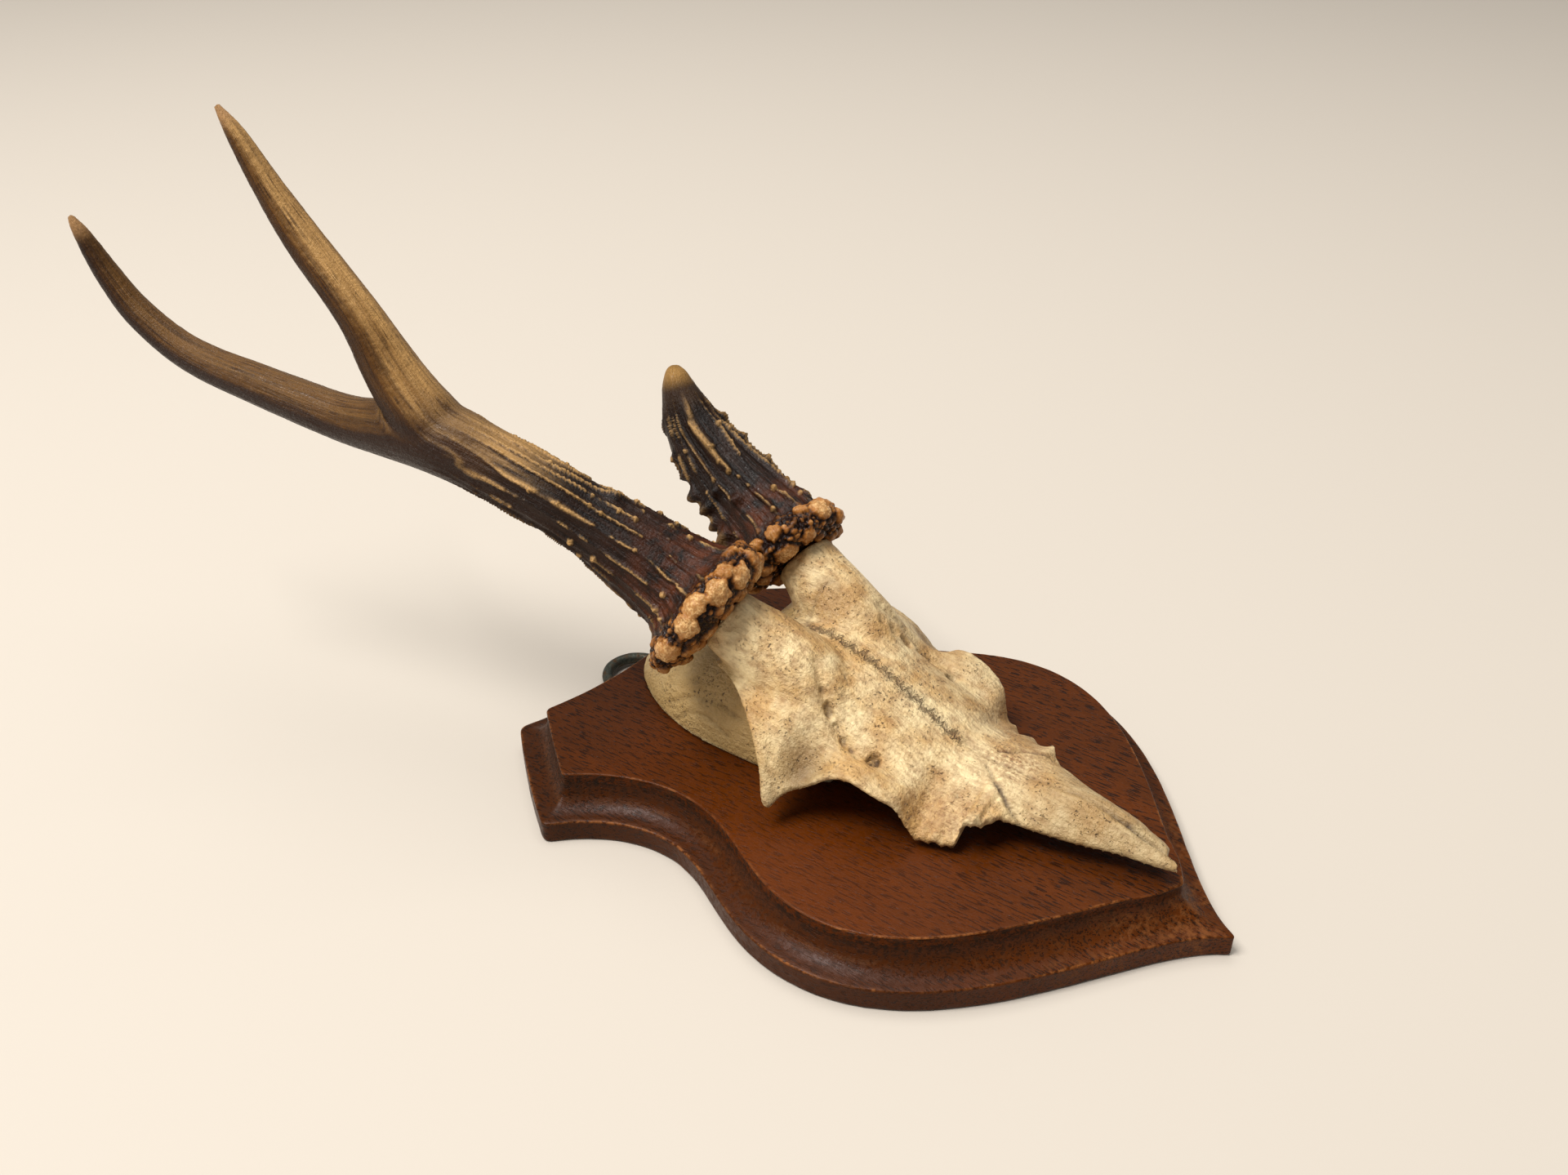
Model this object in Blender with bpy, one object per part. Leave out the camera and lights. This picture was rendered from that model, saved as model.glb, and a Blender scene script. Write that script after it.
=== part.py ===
"""Roe deer trophy: a sawn skull cap with two antlers on a carved wooden shield that lies on its back.

Metres, +Z up. The shield's flat back is the plane z = 0 and its middle is the origin. The shield's
pointed tip and the nasal bones point to -Y, the hanging ring and the antlers to +Y.
"""

import math

import bmesh
import bpy
import numpy as np

FIT_GAP = 0.0003  # clearance between pieces that touch

# Wooden shield
SHIELD_LENGTH = 0.215  # pointed tip to the corners of the top edge
SHIELD_WIDTH = 0.149  # across the belly
SHIELD_THICKNESS = 0.017
RIM_HEIGHT = 0.0068  # plain band at the foot of the moulding
MOULDING_WIDTH = 0.0085  # level distance from the rim to the edge of the face
FACE_STEP = 0.0027  # upright step below the edge of the face
EDGE_ROUND = 0.0006
CORNER_SPREAD = 0.028  # how far along the edge the mitre of a corner is spread
COVE_STEPS = 5

# Right half of the shield's outline: control points of Bezier curves, as shares of half the width and of
# the length, counted from the tip. A corner stands at each end of the ogee, the ear and the top edge.
OGEE_CURVE = ((0.0, 0.0), (0.121, 0.102), (1.0, 0.205), (1.0, 0.419))
BELLY_CURVE = ((1.0, 0.419), (1.0, 0.54), (0.752, 0.595), (0.752, 0.684))
EAR_FLARE_CURVE = ((0.752, 0.684), (0.752, 0.735), (0.822, 0.786), (0.961, 0.829))
EAR_END_CURVE = ((0.961, 0.829), (0.845, 0.888), (0.711, 0.944), (0.564, 1.0))
TOP_EDGE_CURVE = ((0.564, 1.0), (0.403, 0.972), (0.188, 0.958), (0.0, 0.958))
OUTLINE_CURVES = (
    (OGEE_CURVE, 13),
    (BELLY_CURVE, 9),
    (EAR_FLARE_CURVE, 5),
    (EAR_END_CURVE, 4),
    (TOP_EDGE_CURVE, 6),
)

# Hanging ring, which lies in a recess in the shield's back
RING_RADIUS = 0.0092  # centre of the wire
RING_WIRE_RADIUS = 0.0019
RING_OFFSET = 0.0045  # from the shield's middle line
RING_TURNS = 30
RING_REACH = 0.0125  # how far the ring stands out past the top edge
TANG_LENGTH = 0.026
TANG_WIDTH = 0.007
TANG_THICKNESS = 0.0022
RECESS_CLEARANCE = 0.0006

# Skull cap. The station tables are drawn in millimetres for a cap of the table's length, from the tip of
# the nasal bones backwards and up from the saw cut, and scale with the cap.
SKULL_LENGTH = 0.178
SKULL_TABLE_LENGTH = 178.0
SKULL_START_SHARE = 0.084  # nasal tip, as a share of the shield's length from the shield's tip
BONE_THICKNESS = 0.0030
BRAINCASE_WALL = 0.0032

# Along, half width, crown height, edge height, roundness of the section
BROW_STATIONS = (
    (0.0, 3.4, 7.6, 6.2, 2.0),
    (3.0, 4.4, 8.8, 6.5, 2.0),
    (9.0, 5.7, 10.4, 6.8, 2.0),
    (16.0, 7.3, 12.9, 7.3, 1.8),
    (26.0, 10.0, 14.8, 7.4, 1.7),
    (36.0, 12.8, 15.3, 8.4, 1.7),
    (43.0, 15.2, 15.1, 9.8, 1.8),
    (46.0, 18.5, 15.0, 10.4, 1.9),
    (49.0, 23.5, 15.0, 5.2, 2.2),
    (54.0, 26.2, 15.0, 3.2, 2.2),
    (64.0, 29.4, 16.2, 3.4, 2.1),
    (66.5, 30.4, 17.3, 8.0, 1.8),
    (69.0, 31.8, 18.5, 13.6, 1.5),
    (75.0, 34.2, 21.6, 17.2, 1.3),
    (82.0, 35.2, 25.5, 19.4, 1.2),
    (90.0, 36.9, 30.0, 18.1, 1.5),
    (95.0, 38.8, 31.6, 15.0, 2.4),
    (98.5, 42.0, 32.8, 10.6, 3.0),
    (100.6, 44.8, 33.3, 7.2, 3.2),
    (102.4, 44.2, 33.8, 9.8, 3.2),
    (106.0, 40.4, 35.2, 17.5, 3.0),
    (111.0, 36.6, 35.6, 23.0, 2.8),
    (119.0, 31.8, 34.8, 28.6, 2.6),
    (127.0, 28.2, 32.6, 31.6, 2.4),
    (133.0, 24.5, 29.8, 30.6, 2.2),
)

# Along, half width at the saw cut, crown height
BRAINCASE_STATIONS = (
    (96.0, 20.0, 28.5),
    (104.0, 23.4, 32.8),
    (113.0, 25.4, 34.2),
    (125.0, 26.0, 31.9),
    (137.0, 25.5, 28.2),
    (147.0, 24.0, 24.6),
    (157.0, 20.6, 19.4),
    (166.0, 15.6, 12.0),
    (173.0, 9.6, 5.8),
    (178.0, 2.6, 1.2),
)
BRAINCASE_ROUNDNESS = 2.2

# Points across a section, and the spacing of the sections in the tables' millimetres
BROW_POINTS = 17
BROW_SPACING = 4.4
BRAINCASE_POINTS = 17
BRAINCASE_SPACING = 7.0

# Groove of the brow hole: middle along, middle as a share of the half width, and its reach and depth
GROOVE_ALONG = 80.0
GROOVE_SHARE = 0.64
GROOVE_REACH = 15.0
GROOVE_SHARE_REACH = 0.17
GROOVE_DEPTH = 3.0

# Pedicle axis: out, along, up, radius
PEDICLE_STATIONS = (
    (13.5, 101.0, 18.0, 12.5),
    (14.2, 110.0, 26.5, 13.4),
    (16.2, 119.5, 33.8, 11.8),
    (18.3, 127.3, 39.2, 10.0),
    (19.3, 132.6, 42.6, 9.1),
)

# Antlers. Each table starts at the underside of the burr: out, along, up and radius in millimetres.
ANTLER_TABLE_LENGTH = 202.0
RIGHT_ANTLER_LENGTH = 0.202  # burr to the tip of the front tine, along the beam
LEFT_ANTLER_LENGTH = 0.202  # the length that the same table scale has on the stunted side
RIGHT_BEAM_TABLE = (
    (0.0, 0.0, 0.0, 15.0),
    (1.3, 1.8, 0.8, 20.0),
    (2.8, 5.4, 2.6, 22.2),
    (2.8, 8.4, 4.6, 20.4),
    (2.2, 10.4, 6.2, 15.8),
    (2.7, 15.3, 8.4, 13.9),
    (5.7, 28.9, 16.3, 11.7),
    (9.7, 41.7, 23.5, 9.7),
    (12.7, 50.6, 28.3, 9.4),
    (16.7, 70.3, 35.2, 9.8),
    (19.7, 84.5, 39.2, 10.6),
    (22.3, 101.0, 38.6, 8.8),
    (24.7, 118.5, 37.8, 7.2),
    (28.7, 138.0, 41.0, 6.5),
    (31.7, 152.0, 43.8, 6.1),
    (34.7, 165.5, 46.7, 5.6),
    (37.7, 177.4, 51.6, 5.1),
    (40.7, 188.6, 60.7, 4.5),
    (42.7, 195.8, 71.3, 3.7),
    (44.7, 200.7, 82.9, 2.4),
    (45.7, 203.2, 88.6, 0.9),
)
FRONT_TINE_TABLE = (
    (18.6, 77.0, 36.6, 7.0),
    (19.9, 86.0, 42.0, 9.6),
    (21.0, 94.0, 50.0, 9.0),
    (21.9, 99.8, 58.5, 8.0),
    (23.7, 107.8, 73.4, 6.2),
    (25.7, 122.6, 91.3, 5.4),
    (27.2, 132.3, 105.3, 4.1),
    (28.2, 140.0, 117.8, 2.8),
    (28.7, 145.8, 125.4, 0.9),
)
LEFT_SPIKE_TABLE = (
    (0.0, 0.0, 0.0, 13.5),
    (0.6, 1.6, 1.0, 16.8),
    (1.2, 4.6, 3.0, 18.2),
    (1.5, 7.6, 4.8, 17.0),
    (1.7, 10.0, 6.2, 13.8),
    (2.7, 19.0, 9.9, 12.2),
    (4.7, 33.9, 18.4, 10.2),
    (6.7, 44.6, 26.6, 8.7),
    (8.4, 51.2, 36.1, 5.9),
    (9.4, 53.8, 42.3, 3.4),
    (9.7, 54.4, 44.6, 1.4),
)
BURR_LOBES = 11
BURR_LOBE_DEPTH = 0.055  # share of the burr's radius
BURR_REACH = 0.012  # the lobes fade out this far above the burr's underside
RIDGE_COUNT = 8
RIDGE_DEPTH = 0.055  # share of the beam's radius
RIDGE_FADE_SHARE = 0.55  # the ridges fade out by this share of the way to the tip
ANTLER_SIDES = 22
TINE_SIDES = 16

RING_SPACING = 6.0  # between the rings of a tube, in the tables' millimetres
PEDICLE_LEVEL_REACH = 0.004
SMOOTH_ANGLE = math.radians(38)


def clear_scene():
    for existing in list(bpy.data.objects):
        bpy.data.objects.remove(existing, do_unlink=True)


def new_collection(name):
    collection = bpy.data.collections.new(name)
    bpy.context.scene.collection.children.link(collection)
    return collection


def make_material(name, colour, roughness, metallic=0.0):
    material = bpy.data.materials.new(name)
    material.use_nodes = True
    shader = material.node_tree.nodes["Principled BSDF"]
    shader.inputs["Base Color"].default_value = (*colour, 1.0)
    shader.inputs["Roughness"].default_value = roughness
    shader.inputs["Metallic"].default_value = metallic
    return material


def add_object(collection, name, mesh, material=None):
    piece = bpy.data.objects.new(name, mesh)
    collection.objects.link(piece)
    if material:
        mesh.materials.append(material)
        mesh.shade_smooth()
        mesh.set_sharp_from_angle(angle=SMOOTH_ANGLE)
    else:
        piece.hide_render = True
        piece.display_type = "WIRE"
    return piece


def add_boolean(piece, other, operation):
    modifier = piece.modifiers.new(operation.lower() + "_" + other.name, "BOOLEAN")
    modifier.operation = operation
    modifier.solver = "EXACT"
    modifier.use_self = operation == "UNION"  # a thick bone's sections may cross each other
    modifier.object = other


def loft(name, rings):
    """A closed mesh through rings of equally many points, with a flat cap on each end."""
    mesh = bpy.data.meshes.new(name)
    shape = bmesh.new()
    rows = [[shape.verts.new(point) for point in ring] for ring in rings]
    sides = len(rows[0])
    for lower, upper in zip(rows, rows[1:]):
        for side in range(sides):
            after = (side + 1) % sides
            shape.faces.new((lower[side], lower[after], upper[after], upper[side]))
    shape.faces.new(reversed(rows[0]))
    shape.faces.new(rows[-1])
    bmesh.ops.recalc_face_normals(shape, faces=shape.faces)
    shape.to_mesh(mesh)
    shape.free()
    return mesh


def smooth_rows(table, spacing):
    """Rows read from a smooth curve through the table's rows, about one for each spacing of its length."""
    rows = np.array(table, float)
    padded = np.vstack([2 * rows[0] - rows[1], rows, 2 * rows[-1] - rows[-2]])
    found = []
    for index in range(1, len(padded) - 2):
        before, start, end, after = padded[index - 1 : index + 3]
        steps = max(1, round(np.linalg.norm((end - start)[:3]) / spacing))
        for step in range(steps):
            t = step / steps
            found.append(
                0.5
                * (
                    2 * start
                    + (end - before) * t
                    + (2 * before - 5 * start + 4 * end - after) * t**2
                    + (3 * start - before - 3 * end + after) * t**3
                )
            )
    found.append(rows[-1])
    return np.array(found)


def bezier(controls, steps):
    a, b, c, d = (np.array(point, float) for point in controls)
    t = (np.arange(steps) / steps)[:, None]
    return a * (1 - t) ** 3 + 3 * b * t * (1 - t) ** 2 + 3 * c * t**2 * (1 - t) + d * t**3


def unit(vectors):
    return vectors / np.linalg.norm(vectors, axis=-1, keepdims=True)


# Shield


def shield_outline():
    """The outline anticlockwise from the tip, in metres from the origin, and the places of its corners."""
    right = np.vstack([bezier(controls, steps) for controls, steps in OUTLINE_CURVES])
    top_middle = np.array([TOP_EDGE_CURVE[-1]])
    left = right[:0:-1] * (-1.0, 1.0)
    shares = np.vstack([right, top_middle, left])
    steps = [count for _, count in OUTLINE_CURVES]
    ear_foot = sum(steps[:3])
    ear_top = sum(steps[:4])
    corners = (0, ear_foot, ear_top, len(shares) - ear_top, len(shares) - ear_foot)
    size = np.array([SHIELD_WIDTH / 2, SHIELD_LENGTH])
    return shares * size - (0.0, SHIELD_LENGTH / 2), corners


def inset_vectors(outline, corners):
    """For each point, the move that brings it one unit inside, with the corners mitred."""
    ahead = unit(np.roll(outline, -1, axis=0) - outline)
    behind = np.roll(ahead, 1, axis=0)
    tangent = unit(ahead + behind)
    normal = np.stack([-tangent[:, 1], tangent[:, 0]], axis=1)
    moves = normal.copy()
    lengths = np.linalg.norm(np.roll(outline, -1, axis=0) - outline, axis=1)
    count = len(outline)
    for corner in corners:
        inside_angle = math.pi - math.acos(float(ahead[corner] @ behind[corner]))
        slide = 1 / math.tan(inside_angle / 2)
        moves[corner] = normal[corner] / math.sin(inside_angle / 2)
        for direction in (1, -1):
            travelled = 0.0
            index = corner
            while True:
                travelled += lengths[index if direction > 0 else index - 1]
                index = (index + direction) % count
                if travelled >= CORNER_SPREAD or index in corners:
                    break
                moves[index] = moves[index] + direction * tangent[index] * slide * (
                    1 - travelled / CORNER_SPREAD
                )
    return moves


def moulding_profile():
    """Rows of (inset, height), from the back's edge up to the face."""
    cove_foot = RIM_HEIGHT + EDGE_ROUND
    cove_top = SHIELD_THICKNESS - FACE_STEP
    run = MOULDING_WIDTH - 2 * EDGE_ROUND
    rows = [
        (EDGE_ROUND, 0.0),
        (0.0, EDGE_ROUND),
        (0.0, RIM_HEIGHT - EDGE_ROUND),
        (EDGE_ROUND, RIM_HEIGHT),
    ]
    for step in range(COVE_STEPS + 1):
        angle = math.pi / 2 * (1 - step / COVE_STEPS)
        inset = MOULDING_WIDTH - run * (1 - math.cos(angle))
        rows.append((inset, cove_top - (cove_top - cove_foot) * math.sin(angle)))
    rows.append((MOULDING_WIDTH, SHIELD_THICKNESS - EDGE_ROUND / 2))
    rows.append((MOULDING_WIDTH + EDGE_ROUND / 2, SHIELD_THICKNESS))
    return rows


def ring_centre():
    top_edge = SHIELD_LENGTH * (TOP_EDGE_CURVE[-1][1] - 0.5)
    reach = RING_REACH - RING_RADIUS - RING_WIRE_RADIUS
    return np.array([RING_OFFSET, top_edge + reach, RING_WIRE_RADIUS + FIT_GAP])


def make_box(name, lowest, highest):
    mesh = bpy.data.meshes.new(name)
    shape = bmesh.new()
    bmesh.ops.create_cube(shape, size=1.0)
    for vertex in shape.verts:
        share = np.array(vertex.co) + 0.5
        vertex.co = np.array(lowest) + share * (np.array(highest) - np.array(lowest))
    shape.to_mesh(mesh)
    shape.free()
    return mesh


def recess_depth():
    return 2 * RING_WIRE_RADIUS + FIT_GAP + RECESS_CLEARANCE


def build_shield(parts, cutters, wood):
    outline, corners = shield_outline()
    moves = inset_vectors(outline, corners)
    rings = []
    for inset, height in moulding_profile():
        flat = outline + moves * inset
        rings.append(np.column_stack([flat, np.full(len(flat), height)]))
    shield = add_object(parts, "wooden_shield", loft("wooden_shield", rings), wood)

    centre = ring_centre()
    radius = RING_RADIUS + RING_WIRE_RADIUS + RECESS_CLEARANCE
    depth = recess_depth()
    pocket = bpy.data.meshes.new("ring_pocket")
    shape = bmesh.new()
    bmesh.ops.create_cone(
        shape, cap_ends=True, segments=40, radius1=radius, radius2=radius, depth=2 * depth
    )
    bmesh.ops.translate(shape, verts=shape.verts, vec=(centre[0], centre[1], 0.0))
    shape.to_mesh(pocket)
    shape.free()
    half = TANG_WIDTH / 2 + RECESS_CLEARANCE
    slot = make_box(
        "tang_slot",
        (centre[0] - half, centre[1] - TANG_LENGTH - RECESS_CLEARANCE, -depth),
        (centre[0] + half, centre[1], depth),
    )
    for mesh in (pocket, slot):
        add_boolean(shield, add_object(cutters, mesh.name, mesh), "DIFFERENCE")


def build_ring(parts, cutters, iron):
    centre = ring_centre()
    turns = np.linspace(0, 2 * math.pi, RING_TURNS, endpoint=False)
    curve = bpy.data.curves.new("ring_wire", "CURVE")
    curve.dimensions = "3D"
    curve.bevel_depth = RING_WIRE_RADIUS
    curve.bevel_resolution = 2
    spline = curve.splines.new("POLY")
    spline.points.add(len(turns) - 1)
    for point, turn in zip(spline.points, turns):
        offset = RING_RADIUS * np.array([math.cos(turn), math.sin(turn), 0.0])
        point.co = (*(centre + offset), 1.0)
    spline.use_cyclic_u = True
    wire = bpy.data.objects.new("ring_wire", curve)
    cutters.objects.link(wire)
    graph = bpy.context.evaluated_depsgraph_get()
    mesh = bpy.data.meshes.new_from_object(wire.evaluated_get(graph))
    mesh.name = "hanging_ring"
    bpy.data.objects.remove(wire, do_unlink=True)
    ring = add_object(parts, "hanging_ring", mesh, iron)

    tang_top = centre[2] + TANG_THICKNESS / 2
    tang = make_box(
        "hanging_tang",
        (centre[0] - TANG_WIDTH / 2, centre[1] - TANG_LENGTH, tang_top - TANG_THICKNESS),
        (centre[0] + TANG_WIDTH / 2, centre[1] - RING_RADIUS, tang_top),
    )
    add_boolean(ring, add_object(cutters, "hanging_tang", tang), "UNION")


# Skull


def skull_point(across, along, up):
    """A place on the skull's tables, in metres from the origin."""
    scale = SKULL_LENGTH / SKULL_TABLE_LENGTH
    nose = SHIELD_LENGTH * (SKULL_START_SHARE - 0.5)
    return np.array(
        [across * scale, nose + along * scale, SHIELD_THICKNESS + FIT_GAP + up * scale]
    )


def brow_mesh():
    """Frontal and nasal bones: an arched plate, crown line to both edges, with an underside below it."""
    thickness = BONE_THICKNESS * SKULL_TABLE_LENGTH / SKULL_LENGTH
    shares = np.sin(np.linspace(-math.pi / 2, math.pi / 2, BROW_POINTS))
    rings = []
    for along, half, crown, edge, roundness in smooth_rows(BROW_STATIONS, BROW_SPACING):
        drop = crown - (crown - edge) * np.abs(shares) ** roundness
        across = (np.abs(shares) - GROOVE_SHARE) / GROOVE_SHARE_REACH
        drop -= GROOVE_DEPTH * math.exp(-(((along - GROOVE_ALONG) / GROOVE_REACH) ** 2)) * np.exp(
            -(across**2)
        )
        upper = [skull_point(half * t, along, z) for t, z in zip(shares, drop)]
        inner = half - 0.4 * thickness
        under = np.maximum(drop - thickness, 0.0)
        lower = [skull_point(inner * t, along, z) for t, z in zip(shares, under)]
        rings.append(upper + lower[::-1])
    return loft("skull_cap", rings)


def braincase_rings(shrink, foot):
    rings = []
    angles = np.linspace(0, math.pi, BRAINCASE_POINTS)
    power = 2 / BRAINCASE_ROUNDNESS
    for along, half, crown in smooth_rows(BRAINCASE_STATIONS, BRAINCASE_SPACING):
        half = max(half - shrink, 0.4)
        crown = max(crown - shrink, 0.4)
        arch = [
            skull_point(
                half * math.copysign(abs(math.cos(a)) ** power, math.cos(a)),
                along,
                crown * abs(math.sin(a)) ** power,
            )
            for a in angles
        ]
        feet = [skull_point(-half, along, -foot), skull_point(half, along, -foot)]
        rings.append(arch + feet if foot else arch)
    return rings


def tube_rings(table, place, sides, radius_at, level=None):
    """Rings square to a smooth line through the table's rows, each row (out, along, up, radius).

    level is (end, axis, reach): the rings within reach of that end (0 or 1) are square to the axis.
    """
    rows = smooth_rows(table, RING_SPACING)
    centres = np.array([place(*row[:3]) for row in rows])
    tangents = unit(np.gradient(centres, axis=0))
    travelled = np.concatenate(
        [[0.0], np.cumsum(np.linalg.norm(np.diff(centres, axis=0), axis=1))]
    )
    if level:
        end, axis, reach = level
        free = np.clip(np.abs(travelled - end * travelled[-1]) / reach - 1, 0, 1)[:, None]
        tangents = unit(tangents * free + axis * (1 - free))
    aside = unit(np.cross(tangents[0], (0.0, 0.0, 1.0)))
    angles = np.linspace(0, 2 * math.pi, sides, endpoint=False)
    rings = []
    for centre, tangent, row, distance in zip(centres, tangents, rows, travelled):
        aside = unit(aside - tangent * (aside @ tangent))
        upward = np.cross(aside, tangent)
        ring = []
        for angle in angles:
            radius = radius_at(row[3], distance / travelled[-1], distance, angle)
            ring.append(centre + radius * (aside * math.cos(angle) + upward * math.sin(angle)))
        rings.append(ring)
    return rings


def pedicle_axis(side):
    """The middle of the pedicle's top and the direction that it points in."""
    last = skull_point(side * PEDICLE_STATIONS[-1][0], *PEDICLE_STATIONS[-1][1:3])
    before = skull_point(side * PEDICLE_STATIONS[-2][0], *PEDICLE_STATIONS[-2][1:3])
    return last, unit(last - before)


def build_skull(parts, cutters, bone):
    skull = add_object(parts, "skull_cap", brow_mesh(), bone)
    dome = loft("braincase", braincase_rings(0.0, 0.0))
    add_boolean(skull, add_object(cutters, "braincase", dome), "UNION")
    scale = SKULL_LENGTH / SKULL_TABLE_LENGTH
    for name, side in (("right_pedicle", -1), ("left_pedicle", 1)):
        rings = tube_rings(
            PEDICLE_STATIONS,
            lambda out, along, up, side=side: skull_point(side * out, along, up),
            TINE_SIDES,
            lambda radius, share, distance, angle: radius * scale,
            (1, pedicle_axis(side)[1], PEDICLE_LEVEL_REACH),
        )
        add_boolean(skull, add_object(cutters, name, loft(name, rings)), "UNION")
    wall = BRAINCASE_WALL / scale
    hollow = loft("brain_hollow", braincase_rings(wall, 4.0))
    add_boolean(skull, add_object(cutters, "brain_hollow", hollow), "DIFFERENCE")


# Antlers


def antler_radius(scale):
    def radius_at(radius, share, distance, angle):
        burr = max(0.0, 1 - distance / BURR_REACH)
        lobes = BURR_LOBE_DEPTH * burr * math.cos(BURR_LOBES * angle)
        fade = max(0.0, 1 - share / RIDGE_FADE_SHARE) * (1 - burr)
        ridges = RIDGE_DEPTH * fade * math.cos(RIDGE_COUNT * angle)
        return radius * scale * (1 + lobes + ridges)

    return radius_at


def antler_place(side, scale):
    """The function that turns a row of an antler's table into a place above its pedicle."""
    top, axis = pedicle_axis(side)
    base = top + axis * FIT_GAP

    def place(out, along, up):
        return base + scale * np.array([side * out, along, up])

    return place


def build_right_antler(parts, cutters, horn):
    scale = RIGHT_ANTLER_LENGTH / ANTLER_TABLE_LENGTH
    place = antler_place(-1, scale)
    level = (0, pedicle_axis(-1)[1], BURR_REACH)
    beam = tube_rings(
        RIGHT_BEAM_TABLE, place, ANTLER_SIDES, antler_radius(scale), level
    )
    antler = add_object(parts, "right_antler", loft("right_antler", beam), horn)
    tine = tube_rings(
        FRONT_TINE_TABLE,
        place,
        TINE_SIDES,
        lambda radius, share, distance, angle: radius * scale,
    )
    add_boolean(antler, add_object(cutters, "front_tine", loft("front_tine", tine)), "UNION")


def build_left_antler(parts, horn):
    scale = LEFT_ANTLER_LENGTH / ANTLER_TABLE_LENGTH
    rings = tube_rings(
        LEFT_SPIKE_TABLE,
        antler_place(1, scale),
        ANTLER_SIDES,
        antler_radius(scale),
        (0, pedicle_axis(1)[1], BURR_REACH),
    )
    add_object(parts, "left_antler", loft("left_antler", rings), horn)


def main():
    clear_scene()
    parts = new_collection("antler_mounting_plaque")
    cutters = new_collection("cutters")
    wood = make_material("varnished beech", (0.115, 0.040, 0.018), 0.45)
    bone = make_material("bleached bone", (0.560, 0.430, 0.250), 0.60)
    dark_antler = make_material("dark antler", (0.070, 0.036, 0.018), 0.50)
    light_antler = make_material("polished antler", (0.150, 0.085, 0.040), 0.45)
    iron = make_material("blackened iron", (0.045, 0.047, 0.042), 0.50, 0.9)
    build_shield(parts, cutters, wood)
    build_ring(parts, cutters, iron)
    build_skull(parts, cutters, bone)
    build_right_antler(parts, cutters, light_antler)
    build_left_antler(parts, dark_antler)


main()
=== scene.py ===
"""The looks of a roe deer trophy: a sawn skull cap with two antlers on a varnished wooden shield.

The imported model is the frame. Each of its nodes is replaced by a finely modelled piece in the same place,
in metres, and the free forms are drawn in the millimetres of their own tables.
"""

import itertools
import logging
import math
from collections.abc import Callable, Sequence
from dataclasses import dataclass
from enum import Enum

import bmesh
import bpy
import numpy as np
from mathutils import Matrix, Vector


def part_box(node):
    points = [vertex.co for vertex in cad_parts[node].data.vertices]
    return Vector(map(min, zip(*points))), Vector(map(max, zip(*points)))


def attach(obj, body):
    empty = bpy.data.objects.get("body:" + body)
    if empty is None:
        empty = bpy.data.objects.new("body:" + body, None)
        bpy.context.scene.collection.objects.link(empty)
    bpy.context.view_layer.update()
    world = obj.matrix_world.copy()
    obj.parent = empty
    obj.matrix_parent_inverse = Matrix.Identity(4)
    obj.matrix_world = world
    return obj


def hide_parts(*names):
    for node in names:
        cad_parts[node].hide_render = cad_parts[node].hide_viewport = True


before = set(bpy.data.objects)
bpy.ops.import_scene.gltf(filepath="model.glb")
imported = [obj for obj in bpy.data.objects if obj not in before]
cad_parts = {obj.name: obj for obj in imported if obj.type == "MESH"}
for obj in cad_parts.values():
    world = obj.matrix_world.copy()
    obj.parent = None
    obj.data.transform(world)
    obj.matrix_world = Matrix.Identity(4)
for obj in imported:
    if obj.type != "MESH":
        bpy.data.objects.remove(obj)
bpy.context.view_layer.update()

LOG = logging.getLogger("trophy")
MM = 0.001
ROOT = "root"
# Between the top of a pedicle and its antler
BURR_GAP = 0.3 * MM
UP = np.array([0.0, 0.0, 1.0])
# The direction from the trophy to the left of the photograph, along which the spike's knobs stand out
VIEW_LEFT = np.array([-0.572, 0.820, 0.0])

Array = np.ndarray
Place = Callable[[Array, Array, Array], Array]


class Side(Enum):
    """The two sides of the animal, as the sign of x."""

    RIGHT = -1
    LEFT = 1


def node_corners(node: str) -> tuple[Array, Array]:
    """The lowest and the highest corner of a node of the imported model."""
    low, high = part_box(node)
    return np.array(low), np.array(high)


# Curves and noise


def unit(vectors: Array) -> Array:
    """Scales each vector to length one."""
    return vectors / np.maximum(np.linalg.norm(vectors, axis=-1, keepdims=True), 1e-12)


def smooth_step(values: Array | float, low: float, high: float) -> Array:
    """Rises smoothly from 0 at low to 1 at high, or falls where low is above high."""
    share = np.clip((np.asarray(values, float) - low) / (high - low), 0.0, 1.0)
    return share * share * (3 - 2 * share)


def bell(distance: Array, reach: float) -> Array:
    """A bump of height 1 at distance 0 that is nearly gone at twice the reach."""
    return np.exp(-((distance / reach) ** 2))


def patch(points: Array, place: Sequence[float], reach: float) -> Array:
    """A bell round a place."""
    return bell(np.linalg.norm(points - place, axis=1), reach)


def value_noise(points: Array, seed: int) -> Array:
    """Smooth noise of -1 to 1, with bumps about one unit apart.

    Args:
        points: places, one row of three numbers each.
        seed: which noise to read.

    Returns:
        One value for each place.
    """
    cell = np.floor(points).astype(np.int64)
    part = points - cell
    fade = part * part * (3 - 2 * part)
    total = np.zeros(len(points))
    for corner in itertools.product((0, 1), repeat=3):
        key = (cell + np.array(corner)) @ np.array([73856093, 19349663, 83492791])
        key = key + seed * 668265263
        key = ((key ^ (key >> 13)) * 1274126177) & 0x7FFFFFFF
        key = (key ^ (key >> 15)) & 0xFFFF
        weight = np.prod(np.where(np.array(corner) == 1, fade, 1 - fade), axis=1)
        total += (key / 32767.5 - 1) * weight
    return total


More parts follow.
